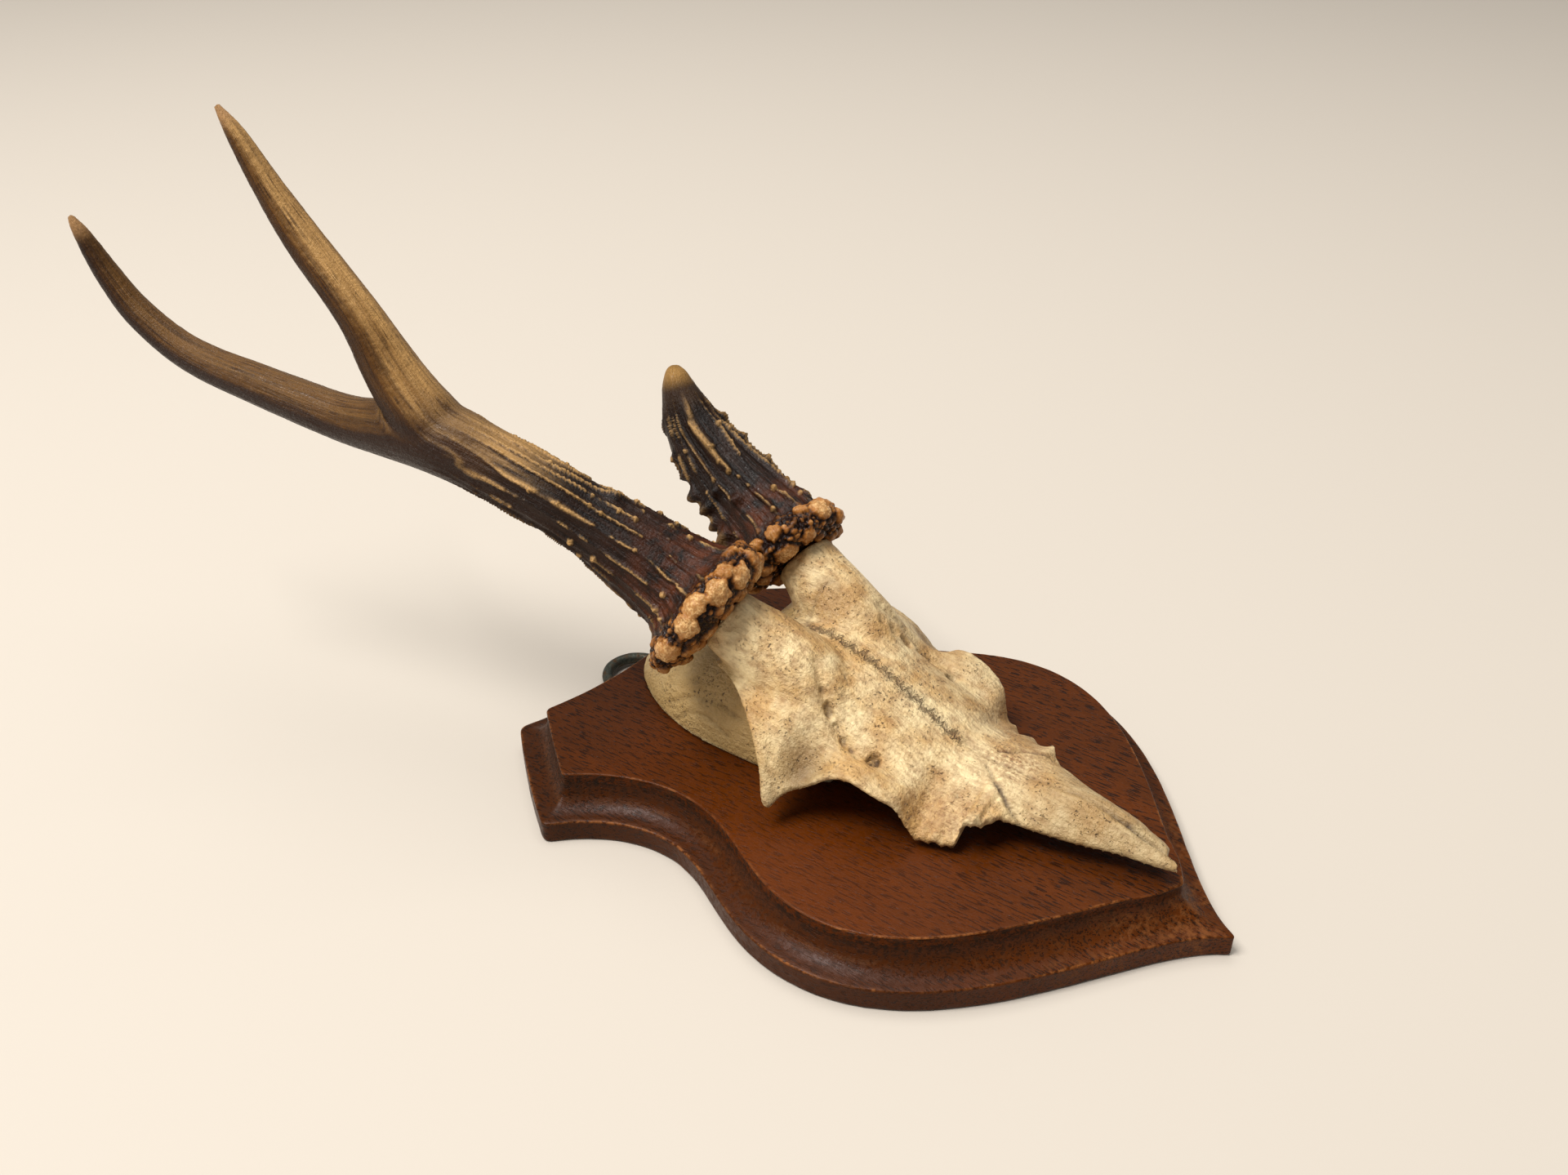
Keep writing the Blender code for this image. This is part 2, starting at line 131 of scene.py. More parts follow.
def fractal_noise(points: Array, seed: int, octaves: int = 3) -> Array:
    """Value noise with finer and weaker noise added, within about -1 to 1.

    Args:
        points: places, one row of three numbers each.
        seed: which noise to read.
        octaves: how many noises are added up.

    Returns:
        One value for each place.
    """
    total = np.zeros(len(points))
    for octave in range(octaves):
        total += value_noise(points * 2**octave, seed + octave) / 2**octave
    return total / 1.5


def crests(points: Array, seed: int, width: float) -> Array:
    """Thin lines of height 1 where a smooth noise passes through zero, gone at the given noise value."""
    return np.clip(1 - np.abs(value_noise(points, seed)) / width, 0, 1)


def smooth_rows(table: Sequence[Sequence[float]], spacing: float) -> Array:
    """Reads rows from a smooth curve through a table's rows.

    Args:
        table: rows whose first three numbers are a place in millimetres.
        spacing: millimetres between the rows that are read.

    Returns:
        The new rows, from the table's first row to its last.
    """
    rows = np.array(table, float)
    padded = np.vstack([2 * rows[0] - rows[1], rows, 2 * rows[-1] - rows[-2]])
    found = []
    for before, start, end, after in zip(padded, padded[1:], padded[2:], padded[3:]):
        steps = max(1, round(float(np.linalg.norm((end - start)[:3])) / spacing))
        t = (np.arange(steps) / steps)[:, None]
        linear_part = 2 * start + (end - before) * t
        square_part = (2 * before - 5 * start + 4 * end - after) * t**2
        cube_part = (3 * start - before - 3 * end + after) * t**3
        found.append(0.5 * (linear_part + square_part + cube_part))
    return np.vstack([*found, rows[-1:]])


def bezier(controls: Sequence[Sequence[float]], spacing: float, size: Array) -> Array:
    """Reads evenly spaced points from a Bezier curve, its end left out.

    Args:
        controls: four control points, as shares of the size.
        spacing: metres between the points.
        size: what the shares are of.

    Returns:
        The points in metres.
    """
    a, b, c, d = (np.array(point, float) * size for point in controls)
    t = np.linspace(0, 1, 400)[:, None]
    curve = a * (1 - t) ** 3 + 3 * b * t * (1 - t) ** 2 + 3 * c * t**2 * (1 - t) + d * t**3
    travelled = np.concatenate([[0], np.cumsum(np.linalg.norm(np.diff(curve, axis=0), axis=1))])
    steps = max(2, round(travelled[-1] / spacing))
    wanted = travelled[-1] * np.arange(steps) / steps
    return np.stack([np.interp(wanted, travelled, curve[:, axis]) for axis in (0, 1)], axis=1)


def distance_to_line(points: Array, line: Sequence[Sequence[float]]) -> Array:
    """The distance of each point from a line through the given places.

    Args:
        points: places.
        line: the places that the line goes through.

    Returns:
        One distance for each point.
    """
    found = np.full(len(points), np.inf)
    places = np.array(line, float)
    for start, end in zip(places, places[1:]):
        along = end - start
        share = np.clip((points - start) @ along / (along @ along), 0, 1)
        near = start + share[:, None] * along
        found = np.minimum(found, np.linalg.norm(points - near, axis=1))
    return found


def scatter(points: Array, spacing: float, most: int, seed: int) -> Array:
    """Picks some of the points in a random order, none nearer to another than the spacing.

    Args:
        points: the places to pick from.
        spacing: the least distance between two that are picked.
        most: how many are picked at most.
        seed: which order to take.

    Returns:
        The places that are picked.
    """
    order = np.random.default_rng(seed).permutation(len(points))
    chosen = points[order[:1]]
    for point in points[order[1:6000]]:
        if np.min(np.linalg.norm(chosen - point, axis=1)) > spacing:
            chosen = np.vstack([chosen, point])
        if len(chosen) >= most:
            break
    return chosen


def domes(points: Array, centres: Array, radii: Array) -> tuple[Array, Array]:
    """Half balls that stand on a surface.

    Args:
        points: places on the surface.
        centres: the middle of each ball.
        radii: the radius of each ball.

    Returns:
        The height at each point, and the number of the ball that is highest there.
    """
    height = np.zeros(len(points))
    owner = np.zeros(len(points), int)
    for number, (centre, radius) in enumerate(zip(centres, radii)):
        squares = ((points - centre) ** 2).sum(axis=1)
        rise = np.sqrt(np.clip(radius**2 - squares, 0, None))
        higher = rise > height
        height[higher] = rise[higher]
        owner[higher] = number
    return height, owner


# Meshes


def loft(name: str, rings: Array, round_trip: bool = False) -> bpy.types.Object:
    """Makes a closed piece through rings of equally many points.

    Args:
        name: the piece's name.
        rings: one row of points for each ring.
        round_trip: whether the last ring joins the first. Otherwise each end has a flat cap.

    Returns:
        The piece.
    """
    count, sides = rings.shape[:2]
    start = np.arange(count if round_trip else count - 1)[:, None] * sides
    ahead = (start + sides) % (count * sides)
    here = np.arange(sides)[None, :]
    beside = (here + 1) % sides
    corners = (start + here, start + beside, ahead + beside, ahead + here)
    quads = np.stack(corners, axis=-1).reshape(-1, 4)
    last = (count - 1) * sides
    caps = [] if round_trip else [list(range(sides))[::-1], list(range(last, last + sides))]
    mesh = bpy.data.meshes.new(name)
    mesh.from_pydata(rings.reshape(-1, 3).tolist(), [], quads.tolist() + caps)
    shape = bmesh.new()
    shape.from_mesh(mesh)
    bmesh.ops.recalc_face_normals(shape, faces=shape.faces)
    shape.to_mesh(mesh)
    shape.free()
    piece = bpy.data.objects.new(name, mesh)
    bpy.context.scene.collection.objects.link(piece)
    return piece


def merge(pieces: Sequence[bpy.types.Object]) -> bpy.types.Object:
    """Puts the meshes of all the pieces into the first one and removes the others.

    Args:
        pieces: one or more pieces.

    Returns:
        The first piece.
    """
    shape = bmesh.new()
    for piece in pieces:
        shape.from_mesh(piece.data)
    shape.to_mesh(pieces[0].data)
    shape.free()
    for piece in pieces[1:]:
        bpy.data.objects.remove(piece, do_unlink=True)
    return pieces[0]


def apply_modifier(piece: bpy.types.Object, kind: str, **settings: object) -> None:
    """Gives the piece a modifier with these settings and keeps its result as the mesh.

    Args:
        piece: what is modified.
        kind: the modifier's type name.
        settings: the modifier's own properties.
    """
    modifier = piece.modifiers.new(kind.lower(), kind)
    for name, value in settings.items():
        setattr(modifier, name, value)
    graph = bpy.context.evaluated_depsgraph_get()
    mesh = bpy.data.meshes.new_from_object(piece.evaluated_get(graph))
    piece.modifiers.clear()
    piece.data = mesh


def put_together(piece: bpy.types.Object, other: bpy.types.Object, operation: str) -> None:
    """Joins the other piece to this one, or cuts it out of this one, and removes it."""
    apply_modifier(piece, "BOOLEAN", operation=operation, solver="EXACT", object=other)
    bpy.data.objects.remove(other, do_unlink=True)


class Surface:
    """The points of a piece's mesh, moved and painted as arrays."""

    def __init__(self, piece: bpy.types.Object) -> None:
        """Reads the mesh of the piece.

        Args:
            piece: the piece to work on.
        """
        self.mesh = piece.data
        self.points = self._read(self.mesh.vertices, "co", 3, np.float32).astype(float)
        self.edges = self._read(self.mesh.edges, "vertices", 2, np.int32)
        self.refresh()

    @staticmethod
    def _read(items: Sequence, name: str, width: int, kind: type) -> Array:
        """Reads one property of all the items as rows of the given width.

        Args:
            items: the mesh's points, edges or normals.
            name: the property.
            width: how many numbers each item has.
            kind: the type of the numbers.

        Returns:
            One row for each item.
        """
        values = np.empty(len(items) * width, kind)
        items.foreach_get(name, values)
        return values.reshape(-1, width)

    def refresh(self) -> None:
        """Writes the points to the mesh and reads its normals again."""
        self.mesh.vertices.foreach_set("co", self.points.astype(np.float32).ravel())
        self.mesh.update()
        self.normals = self._read(self.mesh.vertex_normals, "vector", 3, np.float32).astype(float)

    def push(self, amounts: Array) -> None:
        """Moves each point out along its normal by its own amount in metres."""
        self.points = self.points + self.normals * amounts[:, None]
        self.refresh()

    def soften(self, steps: int, weights: Array | float = 1.0) -> None:
        """Moves each point towards the middle of its neighbours, again and again.

        Args:
            steps: how many times.
            weights: how far each point goes, from 0 to 1.
        """
        count = len(self.points)
        first, second = self.edges.T
        neighbours = np.bincount(first, minlength=count) + np.bincount(second, minlength=count)
        share = np.broadcast_to(weights, count)[:, None] * 0.6
        for _ in range(steps):
            sums = np.empty_like(self.points)
            for axis in range(3):
                values = self.points[:, axis]
                sums[:, axis] = np.bincount(first, weights=values[second], minlength=count)
                sums[:, axis] += np.bincount(second, weights=values[first], minlength=count)
            self.points = self.points + (sums / neighbours[:, None] - self.points) * share
        self.refresh()

    def paint(self, **layers: Array) -> None:
        """Stores numbers or vectors for the points, which the materials read by their names.

        Args:
            layers: one number or vector for each point, by the name to store it under.
        """
        for name, values in layers.items():
            kind, field_name = ("FLOAT", "value") if values.ndim == 1 else ("FLOAT_VECTOR", "vector")
            layer = self.mesh.attributes.new(name, kind, "POINT")
            layer.data.foreach_set(field_name, np.ascontiguousarray(values, np.float32).ravel())


# Materials

COLOUR_A, COLOUR_B, MIXED = 6, 7, 2  # sockets of a Mix node that mixes colours
Mask = bpy.types.Node | bpy.types.NodeSocket


def linear(hex_colour: str) -> tuple[float, float, float, float]:
    """Turns an sRGB hex colour to the linear values that a shader takes.

    Args:
        hex_colour: a colour such as #8c5e34.

    Returns:
        Red, green, blue and an opacity of 1.
    """
    channels = [int(hex_colour[start : start + 2], 16) / 255 for start in (1, 3, 5)]
    red, green, blue = (
        value / 12.92 if value <= 0.04045 else ((value + 0.055) / 1.055) ** 2.4
        for value in channels
    )
    return red, green, blue, 1.0


def add_node(
    tree: bpy.types.NodeTree,
    kind: str,
    links: dict[int | str, object] | None = None,
    **settings: object,
) -> bpy.types.Node:
    """Adds a node with its settings and links.

    Args:
        tree: the material's node tree.
        kind: the node's type name.
        links: what each input, by its name or number, is set to or linked with. A node stands for its
            first output.
        settings: the node's own properties.

    Returns:
        The new node.
    """
    made = tree.nodes.new(kind)
    for name, value in settings.items():
        setattr(made, name, value)
    for place, source in (links or {}).items():
        if isinstance(source, bpy.types.Node):
            source = source.outputs[0]
        if isinstance(source, bpy.types.NodeSocket):
            tree.links.new(source, made.inputs[place])
        else:
            made.inputs[place].default_value = source
    return made


def product(result: Mask, *factors: Mask | float) -> Mask:
    """Multiplies a mask by masks and shares, kept within 0 to 1.

    Args:
        result: the first mask.
        factors: what it is multiplied by.

    Returns:
        The product, or the first mask where there are no factors.
    """
    for factor in factors:
        links = {0: result, 1: factor}
        result = add_node(result.id_data, "ShaderNodeMath", links, operation="MULTIPLY", use_clamp=True)
    return result


def new_material(
    name: str, *stored: str
) -> tuple[bpy.types.Material, bpy.types.NodeTree, bpy.types.Node, list[Mask]]:
    """Starts a material.

    Args:
        name: the material's name.
        stored: the names under which its pieces store numbers for their points.

    Returns:
        The material, its node tree, its shader and those numbers as masks.
    """
    material = bpy.data.materials.new(name)
    material.use_nodes = True
    tree = material.node_tree
    nodes = [add_node(tree, "ShaderNodeAttribute", attribute_name=stored_name) for stored_name in stored]
    return material, tree, tree.nodes["Principled BSDF"], [node.outputs["Fac"] for node in nodes]


def millimetres(tree: bpy.types.NodeTree, stretch: Sequence[float] = (1, 1, 1)) -> bpy.types.NodeSocket:
    """The place on the object in millimetres, each axis multiplied by its stretch.

    Args:
        tree: the material's node tree.
        stretch: what each axis is multiplied by.

    Returns:
        The place's socket.
    """
    place = add_node(tree, "ShaderNodeTexCoord").outputs["Object"]
    scale = tuple(value / MM for value in stretch)
    return add_node(tree, "ShaderNodeMapping", {"Vector": place, "Scale": scale}).outputs["Vector"]


def noise_mask(
    tree: bpy.types.NodeTree,
    place: Mask,
    size_mm: float,
    low: float,
    high: float,
    detail: float = 3.0,
) -> Mask:
    """A mask of 0 to 1 from a noise whose bumps have the given size.

    Args:
        tree: the material's node tree.
        place: the place in millimetres.
        size_mm: the size of the bumps.
        low: the noise value where the mask starts.
        high: the noise value where it is full.
        detail: how many finer noises are added.

    Returns:
        The mask.
    """
    links = {"Vector": place, "Scale": 1 / size_mm, "Detail": detail, "Roughness": 0.6}
    noise = add_node(tree, "ShaderNodeTexNoise", links)
    return add_node(tree, "ShaderNodeMapRange", {"Value": noise, "From Min": low, "From Max": high})


def dress_shader(
    shader: bpy.types.Node,
    ground: str,
    layers: Sequence[tuple],
    rough: bpy.types.Node,
    heights: Sequence[tuple[Mask, float]],
    values: dict[str, float],
) -> None:
    """Gives a shader its colours, roughness, bump and single values.

    Args:
        shader: the material's shader.
        ground: the hex colour that the others lie on.
        layers: each further hex colour with the masks and shares whose product lays it on, the lowest
            first.
        rough: the node that gives the roughness.
        heights: what the bump is made of, each with the metres that its full value stands for.
        values: what is the same all over, by the names of the shader's sockets.
    """
    tree = shader.id_data
    colour = linear(ground)
    for hex_colour, *masks in layers:
        links = {0: product(*masks), COLOUR_A: colour, COLOUR_B: linear(hex_colour)}
        colour = add_node(tree, "ShaderNodeMix", links, data_type="RGBA").outputs[MIXED]
    normal = None
    for height, distance in heights:
        links = {"Height": height, "Distance": abs(distance), "Strength": 1.0}
        if normal:
            links["Normal"] = normal
        normal = add_node(tree, "ShaderNodeBump", links, invert=distance < 0)
    tree.links.new(colour, shader.inputs["Base Color"])
    for name, source in (("Roughness", rough), ("Normal", normal)):
        tree.links.new(source.outputs[0], shader.inputs[name])
    for name, value in values.items():
        shader.inputs[name].default_value = value


@dataclass(frozen=True)
class AgedBone:
    """Boiled skull bone, aged indoors: a matt ivory ground, clouded tan, with open pores full of dust, and
    painted shade in its hollows.
    """

    ivory: str = "#f5dba6"
    tan: str = "#cfa466"
    stain: str = "#8c5e34"
    # the braincase's own olive tone, also laid on as painted shade under the brow
    olive: str = "#c6a264"
    pore: str = "#301c0e"
    seam: str = "#5a3d1e"
    sawn: str = "#d8c08c"
    # dark brown laid on as painted shade
    dusk: str = "#6b4c2a"
    cloud_mm: float = 15.0
    mottle_mm: float = 3.2
    pore_mm: float = 0.9  # real pores are about 0.3 mm, too fine to show, so they are drawn coarser
    grain_mm: float = 1.1  # the fibres' own 0.2 mm would not show either
    suture_period_mm: float = 3.8
    suture_pit_mm: float = 0.55
    ior: float = 1.55
    roughness: float = 0.55

    def suture(self, tree: bpy.types.NodeTree) -> Mask:
        """The zigzag seam between the frontal bones, as a mask from the painted distance across.

        Args:
            tree: the material's node tree.

        Returns:
            The mask.
        """
        lie = add_node(tree, "ShaderNodeAttribute", attribute_name="seam").outputs["Vector"]
        across, along, mask = add_node(tree, "ShaderNodeSeparateXYZ", {0: lie}).outputs
        links = {"W": along, "Scale": 0.5, "Detail": 2.0}
        distance = add_node(tree, "ShaderNodeTexNoise", links, noise_dimensions="1D")
        steps = (
            ("MULTIPLY_ADD", {1: 4.0, 2: along}),
            ("PINGPONG", {1: self.suture_period_mm / 2}),
            ("SUBTRACT", {1: across}),
            ("ABSOLUTE", {}),
        )
        for operation, links in steps:
            distance = add_node(tree, "ShaderNodeMath", {0: distance, **links}, operation=operation)
        line, band = (
            add_node(tree, "ShaderNodeMapRange", {"Value": distance, "From Min": far, "From Max": near})
            for far, near in ((0.75, 0.15), (2.4, 0.8))
        )
        pits = noise_mask(tree, millimetres(tree), self.suture_pit_mm, 0.50, 0.62, 2.0)
        links = {0: line, 1: product(pits, band)}
        return product(add_node(tree, "ShaderNodeMath", links, operation="MAXIMUM"), mask)

    def build(self) -> bpy.types.Material:
        """Makes the material.

        Returns:
            The material.
        """
        material, tree, shader, stored = new_material("aged bone", "dirt", "dusk", "warm", "olive", "sawn")
        dirt, dusk, warm, olive, sawn = stored
        place = millimetres(tree)
        clouds = noise_mask(tree, place, self.cloud_mm, 0.40, 0.62)
        mottle = noise_mask(tree, place, self.mottle_mm, 0.46, 0.70, 5.0)
        fine = noise_mask(tree, place, self.mottle_mm / 3, 0.35, 0.65, 4.0)
        along_bone = millimetres(tree, (1, 0.2, 0.5))
        grain = noise_mask(tree, along_bone, self.grain_mm, 0.45, 0.66, 4.0)
        pores = noise_mask(tree, place, self.pore_mm, 0.60, 0.70, 2.0)
        speckle = product(pores, noise_mask(tree, place, self.cloud_mm / 2, 0.42, 0.60))
        suture = self.suture(tree)
        # Dirt in the pits, holes and seams, and the painted shade on the braincase's front wall under the
        # brow
        links = {0: dirt, 1: 0.75, 2: product(dirt, mottle)}
        dust = add_node(tree, "ShaderNodeMath", links, operation="MULTIPLY_ADD", use_clamp=True)
        layers = (
            (self.tan, clouds),
            (self.stain, mottle, 0.45),
            (self.stain, grain, 0.40),
            (self.stain, warm, fine),
            (self.olive, olive, 0.85),
            (self.dusk, dusk, 0.75),
            (self.pore, speckle, 0.75),
            (self.pore, dust, 0.85),
            (self.seam, suture, 0.65),
            (self.sawn, sawn),
        )
        links = {"Value": mottle, "To Min": self.roughness - 0.10, "To Max": self.roughness + 0.12}
        rough = add_node(tree, "ShaderNodeMapRange", links)
        heights = ((fine, 0.2 * MM), (grain, -0.16 * MM), (speckle, -0.3 * MM), (suture, -0.6 * MM))
        dress_shader(shader, self.ivory, layers, rough, heights, {"IOR": self.ior})
        return material


@dataclass(frozen=True)
class AntlerBone:
    """Weathered antler: nearly black in its furrows, rubbed pale on the ridges and smooth at the tips, with
    painted light on its upward faces and painted shade below.
    """

    name: str
    furrow: str = "#120a06"
    flank: str = "#2c170a"
    # pale of the rubbed ridges, also laid on as painted light on the upward faces
    rubbed: str = "#c6995e"
    smooth: str = "#704817"
    tip: str = "#b98c5c"
    crevice: str = "#1d0a04"
    knoll: str = "#9a5f26"
    lump: str = "#ecc083"
    amber: str = "#5c2b0e"
    rubbed_share: float = 0.95
    streak_mm: float = 0.9  # the real streaks are about 0.3 mm, too fine to show, so they are drawn coarser
    streak_length_mm: float = 16.0
    grit_mm: float = 0.7
    stain_mm: float = 2.4
    mottle_mm: float = 5.0
    patch_mm: float = 6.0
    ior: float = 1.55
    specular: float = 0.18
    roughness: float = 0.36

    def build(self) -> bpy.types.Material:
        """Makes the material.

        Returns:
            The material.
        """
        painted = ("crest", "polish", "stripe", "shade", "tip", "amber", "burr", "lump")
        material, tree, shader, stored = new_material(self.name, *painted)
        crest, polish, stripe, shade, tip, amber, burr, lump = stored
        lie = add_node(tree, "ShaderNodeAttribute", attribute_name="lie").outputs["Vector"]
        squeeze = (1, 1, self.streak_mm / self.streak_length_mm)
        lengthwise = add_node(tree, "ShaderNodeMapping", {"Vector": lie, "Scale": squeeze})
        place = millimetres(tree)
        streaks = noise_mask(tree, lengthwise, self.streak_mm, 0.42, 0.60, 4.0)
        dark_streaks = noise_mask(tree, lengthwise, self.streak_mm * 1.6, 0.47, 0.62, 6.0)
        wide_streaks = noise_mask(tree, lengthwise, self.streak_mm * 5.0, 0.36, 0.60, 5.0)
        scraps = noise_mask(tree, lengthwise, self.streak_mm * 1.2, 0.50, 0.60, 5.0)
        grit = noise_mask(tree, place, self.grit_mm, 0.40, 0.66, 3.0)
        mottle = noise_mask(tree, place, self.mottle_mm, 0.36, 0.60)
        patches = noise_mask(tree, place, self.patch_mm, 0.40, 0.60, 4.0)
        stains = product(grit, noise_mask(tree, place, self.stain_mm, 0.38, 0.56, 4.0))
        banded = add_node(tree, "ShaderNodeMapRange", {"Value": wide_streaks, "To Min": 0.35})
        worn, stained, low_lump, high_lump = (
            add_node(tree, "ShaderNodeMath", {0: mask, 1: more}, use_clamp=True)
            for mask, more in ((grit, 0.5), (stains, 0.22), (lump, -0.06), (lump, -0.35))
        )
        layers = (
            (self.flank, streaks, 0.7),
            (self.amber, amber, mottle),
            (self.smooth, polish),
            (self.flank, polish, dark_streaks, 0.7),
            (self.flank, shade),
            (self.rubbed, stripe, banded),
            (self.flank, scraps, patches, polish, 0.65),
            (self.rubbed, crest, self.rubbed_share, worn),
            (self.tip, tip),
            (self.crevice, burr),
            (self.knoll, low_lump, 2.6),
            (self.lump, high_lump, 1.5, stained),
        )
        links = {"Value": grit, "To Min": self.roughness - 0.10, "To Max": self.roughness + 0.18}
        links = {0: add_node(tree, "ShaderNodeMapRange", links), 1: product(burr, 0.2)}
        rough = add_node(tree, "ShaderNodeMath", links, operation="SUBTRACT", use_clamp=True)
        heights = ((streaks, 0.14 * MM), (grit, 0.09 * MM))
        values = {"IOR": self.ior, "Specular IOR Level": self.specular}
        dress_shader(shader, self.furrow, layers, rough, heights, values)
        return material


@dataclass(frozen=True)
class VarnishedBeech:
    """Stained beech under an old varnish: red-brown with short dark flecks that follow the grain."""

    ground: str = "#572803"
    red: str = "#5f2a02"
    # dark brown of the grain bands and fibre, also laid on as painted shade
    dull: str = "#331703"
    fleck: str = "#1f0d03"
    worn: str = "#8a5226"
    grime: str = "#22150b"
    fleck_mm: float = 0.55  # a ray of beech is about 0.3 mm wide, too fine to show, so it is drawn coarser
    fleck_length_mm: float = 4.5
    band_mm: float = 9.0
    cloud_mm: float = 22.0
    scuff_mm: float = 1.6
    rub_mm: float = 14.0
    ior: float = 1.5
    specular: float = 0.12
    varnish_weight: float = 0.03
    varnish_roughness: float = 0.25
    roughness: float = 0.42

    def build(self) -> bpy.types.Material:
        """Makes the material.

        Returns:
            The material.
        """
        material, tree, shader, stored = new_material("varnished beech", "varnish", "dull", "grime", "worn")
        varnish, dull, grime, wear = stored
        along_grain = millimetres(tree, (1, self.fleck_mm / self.fleck_length_mm, 1))
        place = millimetres(tree)
        all_flecks = noise_mask(tree, along_grain, self.fleck_mm, 0.566, 0.61, 1.0)
        links = {0: all_flecks, 1: product(all_flecks, varnish, 0.6)}
        flecks = add_node(tree, "ShaderNodeMath", links, operation="SUBTRACT", use_clamp=True)
        fibre = noise_mask(tree, along_grain, self.fleck_mm * 0.6, 0.35, 0.65, 3.0)
        bands = noise_mask(tree, along_grain, self.band_mm, 0.38, 0.62, 2.0)
        clouds = noise_mask(tree, place, self.cloud_mm, 0.40, 0.64)
        scuffs = noise_mask(tree, place, self.scuff_mm, 0.42, 0.60, 4.0)
        rubbed = noise_mask(tree, place, self.rub_mm, 0.46, 0.60, 3.0)
        rubbed_more = add_node(tree, "ShaderNodeMath", {0: rubbed, 1: 0.2}, use_clamp=True)
        layers = (
            (self.dull, bands, 0.5),
            (self.red, clouds, 0.35),
            (self.red, varnish, 0.9),
            (self.dull, dull, 0.7),
            (self.dull, fibre, 0.25),
            (self.fleck, flecks, 0.9),
            (self.grime, grime, scuffs),
            # Wear on the edges, and the painted sheen on the moulding towards the tip
            (self.worn, wear, rubbed_more, scuffs),
        )
        links = {"Value": scuffs, "To Min": self.roughness - 0.12, "To Max": self.roughness + 0.10}
        rough = add_node(tree, "ShaderNodeMapRange", links)
        heights = ((flecks, -0.12 * MM), (fibre, 0.03 * MM), (scuffs, 0.03 * MM))
        values = {
            "IOR": self.ior,
            "Specular IOR Level": self.specular,
            "Coat Weight": self.varnish_weight,
            "Coat Roughness": self.varnish_roughness,
        }
        dress_shader(shader, self.ground, layers, rough, heights, values)
        return material


@dataclass(frozen=True)
class BlackenedIron:
    """Forged iron, blackened and slightly rusted: dull grey-green with brown bloom."""

    iron: str = "#4a4c42"
    rust: str = "#59402a"
    dark: str = "#1c1d19"
    bloom_mm: float = 1.8
    metallic: float = 0.75
    roughness: float = 0.48

    def build(self) -> bpy.types.Material:
        """Makes the material.

        Returns:
            The material.
        """
        material, tree, shader, _ = new_material("blackened iron")
        place = millimetres(tree)
        bloom = noise_mask(tree, place, self.bloom_mm, 0.50, 0.66, 4.0)
        pits = noise_mask(tree, place, self.bloom_mm / 3, 0.48, 0.66, 3.0)
        layers = ((self.dark, pits, 0.6), (self.rust, bloom))
        links = {"Value": bloom, "To Min": self.roughness, "To Max": self.roughness + 0.25}
        rough = add_node(tree, "ShaderNodeMapRange", links)
        values = {"Metallic": self.metallic}
        dress_shader(shader, self.iron, layers, rough, ((pits, -0.1 * MM),), values)
        return material


@dataclass(frozen=True)
class MattPaint:
    """Matt pale paint on the studio floor: an even ground that takes soft shadows."""

    ground: str = "#cbc1b4"
    roughness: float = 0.8

    def build(self) -> bpy.types.Material:
        """Makes the material.

        Returns:
            The material.
        """
        material, _, shader, _ = new_material("matt paint")
        shader.inputs["Base Color"].default_value = linear(self.ground)
        shader.inputs["Roughness"].default_value = self.roughness
        return material


def finish_piece(
    piece: bpy.types.Object, material: bpy.types.Material, node: str
) -> None:
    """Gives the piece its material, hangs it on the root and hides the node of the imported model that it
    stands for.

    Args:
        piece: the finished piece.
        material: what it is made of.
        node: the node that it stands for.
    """
    piece.data.materials.clear()
    piece.data.materials.append(material)
    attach(piece, ROOT)
    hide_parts(node)
    piece.data.calc_loop_triangles()
    LOG.info("%s: %d triangles", piece.name, len(piece.data.loop_triangles))


# Shield


